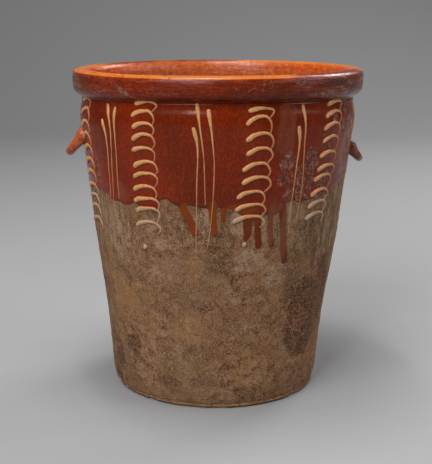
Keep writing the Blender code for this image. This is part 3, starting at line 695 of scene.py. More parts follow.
def on_wall(azimuth, height, lift):
    """Point at a finished height, lifted off the wall."""
    turned_height = height - settle(azimuth, height)
    turned_height = height - settle(azimuth, turned_height)
    radius = outer_radius(azimuth, turned_height, glaze_depth(azimuth, turned_height)) + lift
    return round_pot(azimuth, radius, height)


def turn_rows(azimuth, radius, height):
    """Points of rows that run round the pot, lifted by the settling."""
    return round_pot(azimuth, radius, height + settle(azimuth, height))


def columns_round(columns):
    """Azimuths of so many columns of points, evenly round."""
    return np.arange(columns) * 360 / columns


def curve_through(places, steps):
    """Points of a smooth curve through places, with columns of any other values carried along."""
    places = np.asarray(places, float)
    padded = np.vstack([2 * places[0] - places[1], places, 2 * places[-1] - places[-2]])
    shares = np.linspace(0, len(places) - 1, steps)
    span = np.minimum(shares.astype(int), len(places) - 2)
    share = (shares - span)[:, None]
    before, start, end, after = (padded[span + i] for i in range(4))
    bend = 2 * start + (end - before) * share
    bend += (2 * before - 5 * start + 4 * end - after) * share**2
    bend += (3 * start - before - 3 * end + after) * share**3
    return bend / 2


class Skin:
    """One piece's points, faces and bake map, gathered from grids whose rows each run right round."""

    def __init__(self):
        self.points = []
        self.loops = []
        self.totals = []
        self.corners = []
        self.values = {}
        self.count = 0

    def add(self, grid, joined, strip=(0, 1), **values):
        """Add a grid. Joined, its last row meets its first. Otherwise both ends are capped."""
        centre = grid.mean((0, 1))
        side = np.roll(grid, -1, 1) - centre
        below = grid[1:] - centre
        facing = np.einsum("ijk,ijk->", grid[:-1] - centre, np.cross(side[:-1], below))
        if facing < 0:
            grid = grid[:, ::-1]
            values = {name: value[:, ::-1] for name, value in values.items()}
        rows, columns, _ = grid.shape
        index = np.arange(rows * columns).reshape(rows, columns) + self.count
        following = np.roll(index, -1, 0) if joined else index[1:]
        index = index if joined else index[:-1]
        quads = np.stack([index, np.roll(index, -1, 1), np.roll(following, -1, 1), following], -1)
        steps = np.linalg.norm(np.diff(grid, axis=0, append=grid[:1]), axis=2).mean(1)
        steps = steps if joined else steps[:-1]
        along = np.concatenate([[0], np.cumsum(np.maximum(steps, LEAST_STEP))])
        along = UV_EDGE + UV_FILL * along / along[-1]
        first, last = strip
        around = first + (last - first) * (UV_EDGE + UV_FILL * np.arange(columns + 1) / columns)
        left, right = around[None, :-1], around[None, 1:]
        start, end = along[:-1, None], along[1:, None]
        corner = np.stack([
            np.stack(np.broadcast_arrays(side, level), -1)
            for side, level in ((left, start), (right, start), (right, end), (left, end))
        ], 2)
        self.points.append(grid.reshape(-1, 3))
        for name, value in values.items():
            self.values.setdefault(name, []).append(value.reshape(-1))
        self.loops.append(quads.reshape(-1))
        self.totals.append(np.full(quads.shape[0] * columns, 4))
        self.corners.append(corner.reshape(-1, 2))
        self.count += rows * columns
        if not joined:
            self.cap(grid[0], index[0], around, along[0], -UV_CAP, values, 0)
            self.cap(grid[-1], following[-1], around, along[-1], UV_CAP, values, -1)

    def cap(self, ring, index, around, along, reach, values, row):
        """Close a row with a fan to its middle."""
        turned = np.roll(index, -1)
        pole = np.full(len(index), self.count)
        fan = [turned, index, pole] if row == 0 else [index, turned, pole]
        sides = (around[1:], around[:-1]) if row == 0 else (around[:-1], around[1:])
        level = np.full(len(index), along)
        corner = [
            np.stack([sides[0], level], -1),
            np.stack([sides[1], level], -1),
            np.stack([(around[1:] + around[:-1]) / 2, level + reach], -1),
        ]
        self.points.append(ring.mean(0)[None])
        for name, value in values.items():
            self.values[name].append(value[row].mean()[None])
        self.loops.append(np.stack(fan, -1).reshape(-1))
        self.totals.append(np.full(len(index), 3))
        self.corners.append(np.stack(corner, 1).reshape(-1, 2))
        self.count += 1

    def mesh(self, name):
        """The mesh, with its bake map and the values that its finish reads."""
        mesh = bpy.data.meshes.new(name)
        points = np.concatenate(self.points)
        loops = np.concatenate(self.loops)
        totals = np.concatenate(self.totals)
        mesh.vertices.add(len(points))
        mesh.vertices.foreach_set("co", points.reshape(-1))
        mesh.loops.add(len(loops))
        mesh.loops.foreach_set("vertex_index", loops)
        mesh.polygons.add(len(totals))
        mesh.polygons.foreach_set("loop_start", np.concatenate([[0], np.cumsum(totals)[:-1]]))
        mesh.update(calc_edges=True)
        mesh.uv_layers.new(name="OFBake").data.foreach_set("uv", np.concatenate(self.corners).reshape(-1))
        for value_name, value in self.values.items():
            attribute = mesh.attributes.new(value_name, "FLOAT", "POINT")
            attribute.data.foreach_set("value", np.concatenate(value))
        mesh.shade_smooth()
        return mesh


def add_piece(name, skin, finish, slot, *nodes):
    """Put a piece on the pot in place of its CAD nodes."""
    piece = bpy.data.objects.new(name, skin.mesh(name))
    piece.data.materials.append(finish)
    bpy.context.scene.collection.objects.link(piece)
    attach(piece, "root")
    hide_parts(*nodes)


class Value:
    """A shader value. Arithmetic on it adds Math nodes."""

    def __init__(self, finish, socket):
        self.finish = finish
        self.socket = socket

    def worked(self, operation, first, second):
        return self.finish.node("ShaderNodeMath", {"operation": operation}, {0: first, 1: second})

    def __add__(self, other):
        return self.worked("ADD", self, other)

    __radd__ = __add__

    def __sub__(self, other):
        return self.worked("SUBTRACT", self, other)

    def __rsub__(self, other):
        return self.worked("SUBTRACT", other, self)

    def __mul__(self, other):
        return self.worked("MULTIPLY", self, other)

    __rmul__ = __mul__

    def __abs__(self):
        return self.worked("ABSOLUTE", self, 0)


class Finish:
    """A material that is built node by node."""

    def __init__(self, name):
        self.material = bpy.data.materials.new(name)
        self.material.use_nodes = True
        self.tree = self.material.node_tree
        self.shader = self.tree.nodes["Principled BSDF"]
        self.colours = bpy.context.scene.pot_colours

    def node(self, kind, settings=None, sockets=None, output=0):
        """Add a node: its settings first, then the values and links of its sockets."""
        made = self.tree.nodes.new(kind)
        for name, value in (settings or {}).items():
            setattr(made, name, value)
        for name, value in (sockets or {}).items():
            self.feed(made.inputs[name], value)
        return Value(self, made.outputs[output])

    def feed(self, socket, value):
        """Link a shader value to a socket, or set the socket to a number or to one of the pot's colours."""
        if isinstance(value, Value):
            self.tree.links.new(value.socket, socket)
        elif socket.type == "RGBA":
            socket.default_value = (*getattr(self.colours, value), 1)
        else:
            socket.default_value = value

    def give(self, **sockets):
        """Set or feed the shader's own sockets."""
        for name, value in sockets.items():
            self.feed(self.shader.inputs[name.replace("_", " ").title().replace("Ior", "IOR")], value)

    def kept(self, name):
        """A value that the mesh carries."""
        return self.node("ShaderNodeAttribute", {"attribute_name": name}, output="Fac")

    def place(self, stretch):
        """Position on the pot, with each direction's pattern pulled closer by a factor."""
        where = self.node("ShaderNodeTexCoord", output="Object")
        if stretch == (1, 1, 1):
            return where
        return self.node("ShaderNodeVectorMath", {"operation": "MULTIPLY"}, {0: where, 1: stretch})

    def noise(self, scale, detail=3, stretch=(1, 1, 1), roughness=0.55, distortion=0):
        sockets = {
            "Vector": self.place(stretch), "Scale": scale, "Detail": detail, "Roughness": roughness,
            "Distortion": distortion,
        }
        return self.node("ShaderNodeTexNoise", None, sockets, "Fac")

    def cells(self, scale):
        """Distance from the middle of the nearest of many small cells."""
        sockets = {"Vector": self.place((1, 1, 1)), "Scale": scale}
        return self.node("ShaderNodeTexVoronoi", {"feature": "F1"}, sockets, "Distance")

    def ease(self, value, start, end):
        """0 at the start, 1 at the end, with an eased change between. The start may be above the end."""
        sockets = {"Value": value, "From Min": start, "From Max": end}
        return self.node("ShaderNodeMapRange", {"interpolation_type": "SMOOTHSTEP"}, sockets, "Result")

    def contour(self, value, level, width):
        """1 along the contour of a value at a level, falling to 0 over a width."""
        return self.ease(abs(value - level), width, 0)

    def mix(self, amount, first, second):
        """From the first colour to the second."""
        settings = {"data_type": "RGBA", "blend_type": "MIX", "clamp_factor": True}
        return self.node("ShaderNodeMix", settings, {0: amount, 6: first, 7: second}, 2)

    def emboss(self, height):
        """Turn a height in metres into the shader's normal."""
        normal = self.node("ShaderNodeBump", None, {"Height": height, "Strength": 1, "Distance": 1})
        self.feed(self.shader.inputs["Normal"], normal)


class Coats:
    """A colour that is built up coat by coat."""

    def __init__(self, finish, colour):
        self.finish = finish
        self.colour = colour

    def lay(self, colour, strength, pattern, start=None, end=None):
        """Lay on a coat where a pattern is 1, or where it eases from the start to the end."""
        if start is not None:
            pattern = self.finish.ease(pattern, start, end)
        self.colour = self.finish.mix(pattern * strength, self.colour, colour)


def glaze_look(finish, flow=(1, 1, 0.12)):
    """Coats, roughness and height of the red-brown lead glaze, streaked the way that it flowed."""
    noise, ease = finish.noise, finish.ease
    cloud = noise(16, 4, (1, 1, 0.7))
    streak = noise(90, 4, flow, 0.6)
    mottle = noise(210, 4, (1, 1, 0.6), 0.65)
    weave = noise(430, 3, (1, 1, 0.8), 0.7)
    pits = ease(finish.cells(420), 0.2, 0.08) * ease(noise(60, 2), 0.55, 0.65)
    glaze = Coats(finish, finish.mix(ease(cloud, 0.34, 0.68), "glaze_dark", "glaze"))
    glaze.lay("glaze_bright", 0.3, streak, 0.52, 0.72)
    glaze.lay("glaze_dark", 0.4, mottle, 0.5, 0.68)
    glaze.lay("glaze_dark", 0.5, weave, 0.47, 0.58)
    glaze.lay("glaze_bright", 0.2, weave, 0.5, 0.4)
    glaze.lay("glaze_thin", 0.35, noise(21, 4, (1, 1, 0.5), 0.6), 0.54, 0.72)
    glaze.lay("clay_dark", 0.8, pits)
    roughness = 0.13 + noise(45, 3) * 0.14 + pits * 0.3
    height = noise(120, 2) * 0.00016 + streak * 0.00012 + weave * 0.00009 - pits * 0.00025
    return glaze, roughness, height


def worn(finish, glaze, wash_colour):
    """Dull a glaze where it is worn, with dark pits and pinkish specks. Gives added roughness and height."""
    noise, ease = finish.noise, finish.ease
    # On the wall's right side, towards its edge, the worn patches are partly a painted sheen of grazing light
    ragged = ease(noise(80, 5, (1, 1, 0.8), 0.8), 0.3, 0.7)
    wash = ease(finish.kept("wear") * 0.85 + ragged * 0.6, 0.6, 0.86)
    patches = noise(290, 4, (1, 1, 0.85), 0.8)
    specks = ease(patches, 0.52, 0.58) * wash
    pits = ease(patches, 0.48, 0.41) * wash
    glaze.lay(wash_colour, 0.7, wash)
    glaze.lay("glaze_worn", 0.9, specks)
    glaze.lay("glaze_edge", 0.85, pits)
    return wash * 0.2, specks * 0.0002 - pits * 0.0004


def clay_look(finish):
    """Colour and height of the bare weathered clay."""
    noise, ease, kept = finish.noise, finish.ease, finish.kept
    broad = ease(noise(10, 4, (1, 1, 0.8), 0.6), 0.38, 0.62)
    blotch = noise(40, 5, (1, 1, 1.2), 0.68)
    mottle = noise(125, 4, roughness=0.7)
    flecks = noise(165, 4, (1, 1, 0.8), 0.75)
    grain = noise(310, 4, roughness=0.8)
    sand = noise(720, 3, roughness=0.75)
    clay = Coats(finish, finish.mix(broad, "clay", "clay_warm"))
    clay.lay("clay_pale", 0.5, blotch, 0.4, 0.72)
    clay.lay("clay_umber", 0.55, noise(27, 5, roughness=0.7), 0.44, 0.72)
    clay.lay("clay_rose", 0.45, noise(31, 4, roughness=0.65), 0.5, 0.64)

    # Clean clay, brown dirt, pinkish clay, and grey-pink bloom that low on the right side is also painted light,
    # with ragged edges
    for kind, strength, ragged in (
        ("tan", 0.75, noise(36, 5, roughness=0.7)),
        ("umber", 0.42 + ease(mottle, 0.4, 0.6) * 0.42, noise(52, 5, roughness=0.7)),
        ("rose", 0.6, noise(48, 5, roughness=0.7)),
        ("ash", 0.35 + ease(flecks, 0.4, 0.6) * 0.5, noise(44, 5, (1, 1, 0.5), 0.7)),
    ):
        clay.lay(f"clay_{kind}", strength, kept(kind) + ragged * 0.8, 0.62, 1)

    # Upright smears
    smear = ease(kept("smear") + noise(40, 3) * 0.5, 0.5, 0.9)
    threads = noise(270, 3, (1, 1, 0.07), 0.6)
    clay.lay("clay_pale", smear * 0.9, threads, 0.52, 0.62)
    clay.lay("clay_umber", smear * 0.8, threads, 0.48, 0.38)

    # Stain, with reddish curls scratched into it
    stain = ease(kept("stain") + noise(34, 5, roughness=0.72) * 0.8, 0.58, 0.95)
    stain = stain * (0.84 + ease(noise(95, 4, roughness=0.7), 0.38, 0.58) * 0.14)
    curl = finish.contour(noise(80, 2, distortion=1.6), 0.5, 0.05)
    curl = curl * ease(stain, 0.1, 0.5) * ease(noise(60, 2), 0.44, 0.52)
    in_stain = ease(stain, 0.1, 0.4)
    clay.lay("clay_stain", 1, stain)

    # Grain, stronger in some places and weaker in the stain
    tone = mottle * 0.25 + flecks * 0.25 + grain * 0.28 + sand * 0.22
    rough = 0.3 + ease(noise(22, 4, roughness=0.65), 0.42, 0.6) * 0.7
    clay.lay("clay_pale", rough * (0.8 - stain * 0.48), tone, 0.495, 0.57)
    clay.lay("clay_dark", rough * 0.85, tone, 0.505, 0.43)
    clay.lay("clay_dark", 0.55, grain, 0.52, 0.6)
    clay.lay("clay_pale", 0.65, sand, 0.52, 0.6)

    # Pale hairs, dark seams, specks, cracks and scratches
    specks = ease(finish.cells(300), 0.22, 0.1) * ease(noise(90, 2), 0.54, 0.62)
    broken = ease(noise(130, 3, roughness=0.7), 0.44, 0.56)
    hair = finish.contour(noise(44, 3, (1, 1, 1), 0.5, 0.8), 0.5, 0.012)
    hair = hair * broken * ease(noise(17, 2), 0.47, 0.55)
    seam = finish.contour(noise(36, 3, (1, 1, 1.2), 0.55, 1), 0.47, 0.012)
    seam = seam * (1 - broken) * ease(noise(19, 2), 0.46, 0.54)
    crack = ease(kept("crack") + noise(300, 2) * 0.3, 0.78, 1.05)
    scratch = ease(kept("scratch") + noise(200, 3, roughness=0.7) * 0.6, 0.98, 1.22)
    clay.lay("clay_pale", 0.65, hair)
    clay.lay("clay_dark", 0.7, seam)
    clay.lay("clay_dark", 0.8, specks)
    clay.lay("clay_scratch", 0.6, curl)
    clay.lay(finish.mix(in_stain, "clay_pale", "clay_scratch"), 0.5 + in_stain * 0.4, scratch)
    clay.lay("clay_dark", 0.6, crack)
    height = grain * 0.00035 + blotch * 0.0004 + mottle * 0.0003 + sand * 0.00012
    height = height - specks * 0.0003 - (crack + seam) * 0.0005 - (scratch + curl + hair) * 0.0002
    return clay.colour, height


def inside_look(finish):
    """Colour of the glaze inside the pot."""
    cloud = finish.ease(finish.noise(13, 3), 0.35, 0.65)
    speckle = finish.noise(240, 4, (0.7, 0.7, 1), 0.75)
    glaze = Coats(finish, finish.mix(cloud, "inside", "inside_mauve"))
    glaze.lay("glaze_bright", 0.3, finish.noise(120, 4), 0.5, 0.7)
    glaze.lay("inside_pale", 0.5, speckle, 0.52, 0.62)
    glaze.lay("glaze_dark", 0.4, speckle, 0.48, 0.38)
    return glaze.colour


def make_wall_finish():
    """Glazed top, bare clay below its edge, and the orange glaze of the inside."""
    finish = Finish(WALL_FINISH)
    noise, ease, kept = finish.noise, finish.ease, finish.kept
    glaze, glaze_roughness, glaze_height = glaze_look(finish)
    clay, clay_height = clay_look(finish)
    ragged = noise(210, 4) * 0.0018 + noise(55, 2) * 0.0016 - 0.0017
    depth = kept("glaze_depth") + ragged
    glazed = ease(depth, -0.0004, 0.0006)

    # A darker edge, dark and orange glaze in the runs, a dull wash, and thin mauve glaze near the edge
    run = kept("run")
    dulling = ease(noise(150, 4, (1, 1, 0.5), 0.75), 0.42, 0.6)
    glaze.lay("glaze_edge", (1 - run) * 0.75, depth, 0.004, 0.0008)
    glaze.lay("glaze_run", 0.9, run)
    glaze.lay("glaze_amber", 0.8, kept("amber") + noise(60, 4) * 0.4, 0.45, 0.9)
    glaze.lay("glaze_wash", 0.4 + dulling * 0.4, kept("wash") + noise(90, 4, roughness=0.7) * 0.5, 0.62, 0.82)
    glaze.lay("glaze_thin", 0.85, kept("thin") * 0.55 + noise(46, 5, (1, 1, 0.35), 0.7), 0.76, 1.18)
    dulled, scuffs = worn(finish, glaze, "glaze_wash")

    inside = kept("inside")
    colour = finish.mix(inside, finish.mix(glazed, clay, glaze.colour), inside_look(finish))
    shine = ease(glazed + inside, 0, 1)
    roughness = (glaze_roughness + dulled) * shine + CLAY_ROUGHNESS * (1 - shine)
    finish.give(base_color=colour, roughness=roughness, ior=GLAZE_IOR, specular_ior_level=0.26)
    finish.emboss((glaze_height + scuffs) * shine + clay_height * (1 - shine))
    return finish.material


def make_rim_finish():
    """Glossy glaze, worn to orange on the lip, with bruises on the band."""
    finish = Finish("Rim glaze")
    noise, ease, kept = finish.noise, finish.ease, finish.kept
    glaze, roughness, height = glaze_look(finish, (0.3, 0.3, 2.2))
    band = noise(30, 4, (0.5, 0.5, 6), 0.6)
    scuff = noise(260, 4, (0.5, 0.5, 2.2), 0.8)
    streaks = noise(60, 5, (0.4, 0.4, 3.2), 0.75)
    bruise = ease(kept("bruise") * 0.6 + noise(75, 5, (0.6, 0.6, 1.3), 0.75), 0.66, 0.98)
    glaze.lay("glaze_dark", 0.5, band, 0.52, 0.74)
    glaze.lay("glaze_bruise", 0.75, bruise)
    glaze.lay("glaze_dark", 0.75, scuff, 0.48, 0.58)
    glaze.lay("glaze_smear", 0.2 + bruise * 0.5, scuff, 0.48, 0.38)
    # Pale beige streaks on the band: partly scuffs, partly a painted sheen where light grazes the scuffed glaze
    glaze.lay("rim_scuff_sheen", 0.1 + bruise * 0.6, streaks, 0.53, 0.61)
    glaze.lay("glaze_edge", 0.5, streaks, 0.46, 0.38)
    glaze.lay("glaze_edge", 0.7, kept("shade") * 0.7 + noise(64, 5, (0.6, 0.6, 1.3), 0.75), 0.8, 1.15)
    dulled, scuffs = worn(finish, glaze, "glaze_smear")

    # Orange lip, rubbed paler and chipped
    lip = ease(kept("lip") + noise(40, 4) * 0.5, 0.62, 1.05)
    rubbed = ease(noise(170, 4, roughness=0.75), 0.5, 0.62) * 0.4
    chips = ease(finish.cells(150), 0.3, 0.14) * lip * ease(noise(30, 2), 0.52, 0.6)
    scratch = ease(kept("scratch") + noise(300, 2) * 0.5, 0.95, 1.25)
    glaze.lay(finish.mix(rubbed, "lip", "lip_pale"), 0.9, lip)
    glaze.lay("glaze_edge", 0.7, chips)
    glaze.lay("glaze_worn", 0.45, scratch)
    glaze.lay(inside_look(finish), 1, kept("inside"))
    roughness = roughness + dulled + bruise * 0.08 + lip * 0.06
    finish.give(base_color=glaze.colour, roughness=roughness, ior=GLAZE_IOR, specular_ior_level=0.28)
    finish.emboss(height + scuffs + band * 0.00012 + scuff * 0.0002 + streaks * 0.0008 - scratch * 0.0001)
    return finish.material


def make_ear_finish(side, body):
    """Glaze of an ear, paler where it is thin and with dark specks."""
    finish = Finish(f"{side.title()} ear glaze")
    noise, ease = finish.noise, finish.ease
    cloud = noise(60, 4)
    specks = ease(finish.cells(330), 0.26, 0.12)
    glaze = Coats(finish, finish.mix(ease(cloud, 0.4, 0.7), body, f"{body}_light"))
    glaze.lay("glaze_worn", 0.35, noise(150, 4, roughness=0.7), 0.54, 0.7)
    glaze.lay("glaze_edge", 0.6, specks)
    roughness = 0.18 + cloud * 0.18
    finish.give(base_color=glaze.colour, roughness=roughness, ior=GLAZE_IOR, specular_ior_level=0.36)
    finish.emboss(cloud * 0.0003 + noise(240, 2) * 0.0001 - specks * 0.0002)
    return finish.material


def make_slip_finish():
    """Pale slip under clear glaze, dry and greyer below the glaze's edge."""
    finish = Finish(SLIP_FINISH)
    noise, ease, kept = finish.noise, finish.ease, finish.kept
    body = kept("body")
    mottle = noise(260, 4, roughness=0.65)
    coated = ease(kept("glaze_depth") + noise(120, 2) * 0.004 - 0.002, -0.003, 0.003)
    wet = finish.mix(ease(body + mottle * 0.35, 0.4, 1), "slip_thin", "slip")
    dry = finish.mix(ease(body + mottle * 0.6, 0.35, 1), "slip_dry_thin", "slip_dry")
    thin = finish.mix(coated, "slip_dry_thin", "slip_thin")
    specks = ease(finish.cells(520), 0.24, 0.12) * ease(noise(170, 2), 0.54, 0.64)
    slip = Coats(finish, finish.mix(coated, dry, wet))
    slip.lay(thin, 0.4, noise(340, 3, roughness=0.7), 0.5, 0.62)
    slip.lay("clay_dark", 0.75, specks)
    roughness = 0.85 - coated * 0.6 + mottle * 0.12
    finish.give(base_color=slip.colour, roughness=roughness, ior=GLAZE_IOR, specular_ior_level=0.3)
    finish.emboss(mottle * 0.00015 - specks * 0.0002)
    return finish.material


def share_of(name, description, value, **kind):
    return FloatProperty(name=name, description=description, default=value, **kind)


def length_of(name, description, value):
    return share_of(name, description, value, unit="LENGTH")


def angle_of(name, description, value):
    return share_of(name, description, value, subtype="ANGLE", unit="ROTATION")


def power_of(name, description, value):
    return share_of(name, description, value, unit="POWER")


def colour_of(name, description, value):
    return FloatVectorProperty(
        name=name, description=description, default=value, subtype="COLOR", size=3, min=0, max=1)


class PotShape(bpy.types.PropertyGroup):
    """Sizes of the finished pot that its frame doesn't hold."""

    neck_lift: length_of(
        "Neck lift", "How much higher the neck stands at front and back than at the sides", 0.0022
    )
    rim_lean: share_of("Rim lean", "Rise of the rim towards the right ear", 0.012)
    front_lean: share_of("Front lean", "Rise of the rim towards the front", 0.0115)
    ring_depth: length_of("Throwing rings", "Depth of the rings that the fingers left", 0.00026)
    ring_pitch: length_of("Ring pitch", "Height from one throwing ring to the next", 0.011)
    glaze_thickness: length_of("Glaze thickness", "Step from the bare clay up to the glaze", 0.00035)
    columns: IntProperty(name="Columns", description="Columns of faces round the wall", default=480)
    stroke_width: length_of("Stroke width", "Width of a feather stroke's head", 0.0044)
    line_width: length_of("Line width", "Width of a slip line below its head", 0.0026)
    slip_rise: share_of("Slip rise", "Height of a trail as a share of its width", 0.4)
    ear_thickness: length_of("Ear thickness", "Thickness of the strap ears", 0.0098)
    ear_root: length_of("Ear root", "Thickness of an ear where it meets the wall", 0.0155)
    ear_half_span: length_of("Ear half span", "Half the distance between an ear's roots", 0.0175)


class PotColours(bpy.types.PropertyGroup):
    """Colours of the glazes, the slip and the clay."""

    glaze: colour_of("Glaze", "Red-brown glaze", (0.2, 0.015, 0.0006))
    glaze_dark: colour_of("Dark glaze", "Thick, dark red-brown glaze", (0.112, 0.01, 0.0006))
    glaze_bright: colour_of("Bright glaze", "Orange-red glaze", (0.31, 0.042, 0.0014))
    glaze_thin: colour_of("Thin glaze", "Thin mauve-brown glaze", (0.16, 0.046, 0.02))
    glaze_edge: colour_of("Glaze edge", "Dark line at the edge of the glaze", (0.06, 0.016, 0.01))
    glaze_run: colour_of("Glaze run", "Thick glaze in the runs", (0.108, 0.02, 0.0005))
    glaze_amber: colour_of("Amber glaze", "Thin orange-brown glaze", (0.185, 0.036, 0.0008))
    glaze_wash: colour_of("Washed glaze", "Dull mauve-brown glaze", (0.165, 0.042, 0.018))
    glaze_bruise: colour_of("Bruised glaze", "Purple-brown glaze of the rim", (0.14, 0.032, 0.014))
    glaze_worn: colour_of("Worn glaze", "Pinkish bloom on worn glaze", (0.33, 0.165, 0.12))
    glaze_smear: colour_of("Smear", "Grey-pink smear on the rim", (0.2, 0.076, 0.044))
    # Partly scuffs, partly a painted sheen: pale streaks where light grazes the rim's band
    rim_scuff_sheen: colour_of("Scuffs", "Beige scuffs on the rim", (0.4, 0.24, 0.16))
    lip: colour_of("Lip", "Orange of the worn lip", (0.44, 0.108, 0.006))
    lip_pale: colour_of("Lip, pale", "Paler rubbed lip", (0.56, 0.22, 0.08))
    inside: colour_of("Inside", "Orange glaze inside", (0.41, 0.06, 0.004))
    inside_mauve: colour_of("Inside, mauve", "Paler pinkish glaze inside", (0.35, 0.078, 0.022))
    inside_pale: colour_of("Inside, speckle", "Pale pink speckle inside", (0.48, 0.16, 0.08))
    ear: colour_of("Left ear", "Orange-red of the left ear", (0.32, 0.036, 0.006))
    ear_light: colour_of("Left ear, light", "Paler orange of the left ear", (0.46, 0.12, 0.04))
    ear_dark: colour_of("Right ear", "Dark mauve-brown of the right ear", (0.16, 0.036, 0.018))
    ear_dark_light: colour_of("Right ear, light", "Paler brown of the right ear", (0.26, 0.1, 0.055))
    clay: colour_of("Clay", "Weathered brown-grey clay", (0.18, 0.092, 0.042))
    clay_warm: colour_of("Warm clay", "Warmer brown clay", (0.215, 0.094, 0.034))
    clay_tan: colour_of("Tan clay", "Clean tan clay", (0.3, 0.146, 0.056))
    clay_pale: colour_of("Pale clay", "Pale worn clay", (0.34, 0.208, 0.118))
    clay_dark: colour_of("Dark clay", "Dark pits and specks", (0.062, 0.024, 0.008))
    clay_umber: colour_of("Brown dirt", "Dark brown dirt on the clay", (0.09, 0.042, 0.018))
    # Also painted light: pale marks that brighten the clay low on the right side
    clay_ash: colour_of("Ash clay", "Grey-pink bloom under the glaze", (0.345, 0.228, 0.152))
    clay_rose: colour_of("Rose clay", "Pinkish clay", (0.235, 0.104, 0.064))
    clay_stain: colour_of("Stain", "Dark red-brown stain", (0.062, 0.023, 0.009))
    clay_scratch: colour_of("Scratch", "Orange-red scratches in the stain", (0.33, 0.125, 0.062))
    slip: colour_of("Slip", "Pale yellow slip under glaze", (0.56, 0.28, 0.11))
    slip_thin: colour_of("Thin slip", "Slip where the glaze shows through", (0.34, 0.092, 0.03))
    slip_dry: colour_of("Dry slip", "Slip on the bare clay", (0.43, 0.27, 0.162))
    slip_dry_thin: colour_of("Thin dry slip", "Thin slip on the bare clay", (0.275, 0.15, 0.086))
    backdrop: colour_of("Backdrop", "Pale grey floor and backdrop", (0.25, 0.25, 0.254))
    backdrop_shade: colour_of("Backdrop, shade", "Darker clouds on the backdrop", (0.22, 0.22, 0.22))


class PotLight(bpy.types.PropertyGroup):
    """Camera and studio lamps."""

    camera_distance: length_of("Camera distance", "From the pot's axis", 1.0589)
    camera_height: length_of("Camera height", "Above the floor", 0.4065)
    camera_azimuth: angle_of("Camera azimuth", "Round the pot from its front", math.radians(-3))
    camera_pitch: angle_of("Camera pitch", "How far the camera looks down", 0.2305)
    camera_roll: angle_of("Camera roll", "Turn about its line of sight", 0.0126)
    lens: share_of("Lens", "Focal length in millimetres", 78.29)
    key: power_of("Key lamp", "Power of the key lamp", 50)
    glint: power_of("Glints", "Power of each small lamp whose reflection glints in the glaze", 4)
    top: power_of("Top lamp", "Power of the lamp above the pot", 20)
    strip: power_of("Top strip", "Power of the strip above the pot", 8)
    rear: power_of("Rear lamp", "Power of the lamp over the right rear", 24)
    fill: power_of("Fill panel", "Power of the panel at the right", 10)
    sky: share_of("Sky", "Strength of the even light from all round", 0.16)


class LayFloor(bpy.types.Operator):
    """Make the floor slab of the pot, with its worn foot edge"""

    bl_idname = "confit_pot.lay_floor"
    bl_label = "Floor slab"

    def execute(self, context):
        azimuth = columns_round(context.scene.pot_shape.columns)
        top = foot_height - JOINT_GAP
        foot = floor_outer[0]
        side = (top, top - JOINT_LIP, *np.linspace(top - FLOOR_SHOULDER, FLOOR_SIDE_END, FLOOR_SIDE_ROWS))
        rows = [(share * foot, top, 0, 1) for share in FLOOR_TOP]
        rows += [(None, level, 1, 0) for level in side]
        for share, level in FOOT_EDGE:
            rows.append((foot + FOOT_ROUND * (1 - share) ** FOOT_BEND, level, FOOT_NICKS * (1 - share), 0))
        rows += [(share * foot, 0, 0, 0) for share in FLOOR_UNDERSIDE]
        depth = np.full(len(azimuth), BARE)
        nick = NICK_DEPTH * smooth(uneven("nicks", azimuth, azimuth * 0), *NICK_EDGE)
        nick = nick + CHIP_DEPTH * hump(azimuth, *CHIP)
        grid = []
        for radius, level, rough, _ in rows:
            height = np.full(len(azimuth), level)
            if radius is None:
                radius = outer_radius(azimuth, height, depth)
            radius = radius - rough * nick * smooth(level, *NICK_FADE)
            grid.append(round_pot(azimuth, radius, height))
        grid = np.array(grid)
        spread = np.zeros(grid.shape[:2])
        inside = spread + np.array([row[3] for row in rows])[:, None]
        skin = Skin()
        skin.add(grid, False, glaze_depth=spread + BARE, run=spread, inside=inside,
                 **wall_marks(spread + azimuth, grid[..., 2]))
        add_piece("worn_floor_slab", skin, bpy.data.materials[WALL_FINISH], "bare_clay", FLOOR_NODE)
        return {"FINISHED"}


class ThrowWall(bpy.types.Operator):
    """Make the thrown wall, with its rings, dents, glaze coat and runs"""

    bl_idname = "confit_pot.throw_wall"
    bl_label = "Thrown wall"

    def execute(self, context):
        azimuth = columns_round(context.scene.pot_shape.columns)
        below_neck, below_edge = WALL_BANDS
        above_rows, edge_rows, clay_rows, inner_rows = WALL_ROWS
        gap = foot_height - JOINT_GAP
        outer = np.concatenate([
            np.linspace(neck_height, below_neck, above_rows, endpoint=False),
            np.linspace(below_neck, below_edge, edge_rows, endpoint=False),
            np.linspace(below_edge, foot_height, clay_rows), [foot_height - JOINT_LIP, gap],
        ])
        azimuths, heights = np.meshgrid(azimuth, outer)
        depth = glaze_depth(azimuths, heights)
        outside = turn_rows(azimuths, outer_radius(azimuths, heights, depth), heights)
        inner = np.concatenate([[gap], np.linspace(foot_height, neck_height, inner_rows)])
        inner_azimuths, inner_heights = np.meshgrid(azimuth, inner)
        inner_radius = softened(inner_heights, wall_heights, wall_inner)
        inner_radius = inner_radius + uneven("inner side", inner_azimuths, inner_heights)
        inward = turn_rows(inner_azimuths, inner_radius, inner_heights)
        flat = np.zeros(inner_azimuths.shape)
        values = {"run": drip_tone(azimuths, heights), **wall_marks(azimuths, heights)}
        skin = Skin()
        skin.add(
            np.concatenate([outside, inward]), True, glaze_depth=np.concatenate([depth, flat + GLAZED]),
            inside=np.concatenate([np.zeros(azimuths.shape), flat + 1]),
            **{kind: np.concatenate([value, flat]) for kind, value in values.items()},
        )
        add_piece("thrown_wall", skin, make_wall_finish(), "wall", WALL_NODE)
        return {"FINISHED"}


def lip_wear(azimuth):
    """How far the lip has worn to orange, round the pot."""
    dark = smooth(np.abs(turned(azimuth, LIP_DARK)), *LIP_DARK_REACH)
    behind = smooth(np.abs(turned(azimuth)), *LIP_BEHIND)
    patches = smooth(uneven("lip wear", azimuth, azimuth * 0), *LIP_PATCHES)
    most, spared = LIP_LOSS
    return (1 - LIP_DARK_SHARE * dark) * (1 - behind * (most - spared * patches))


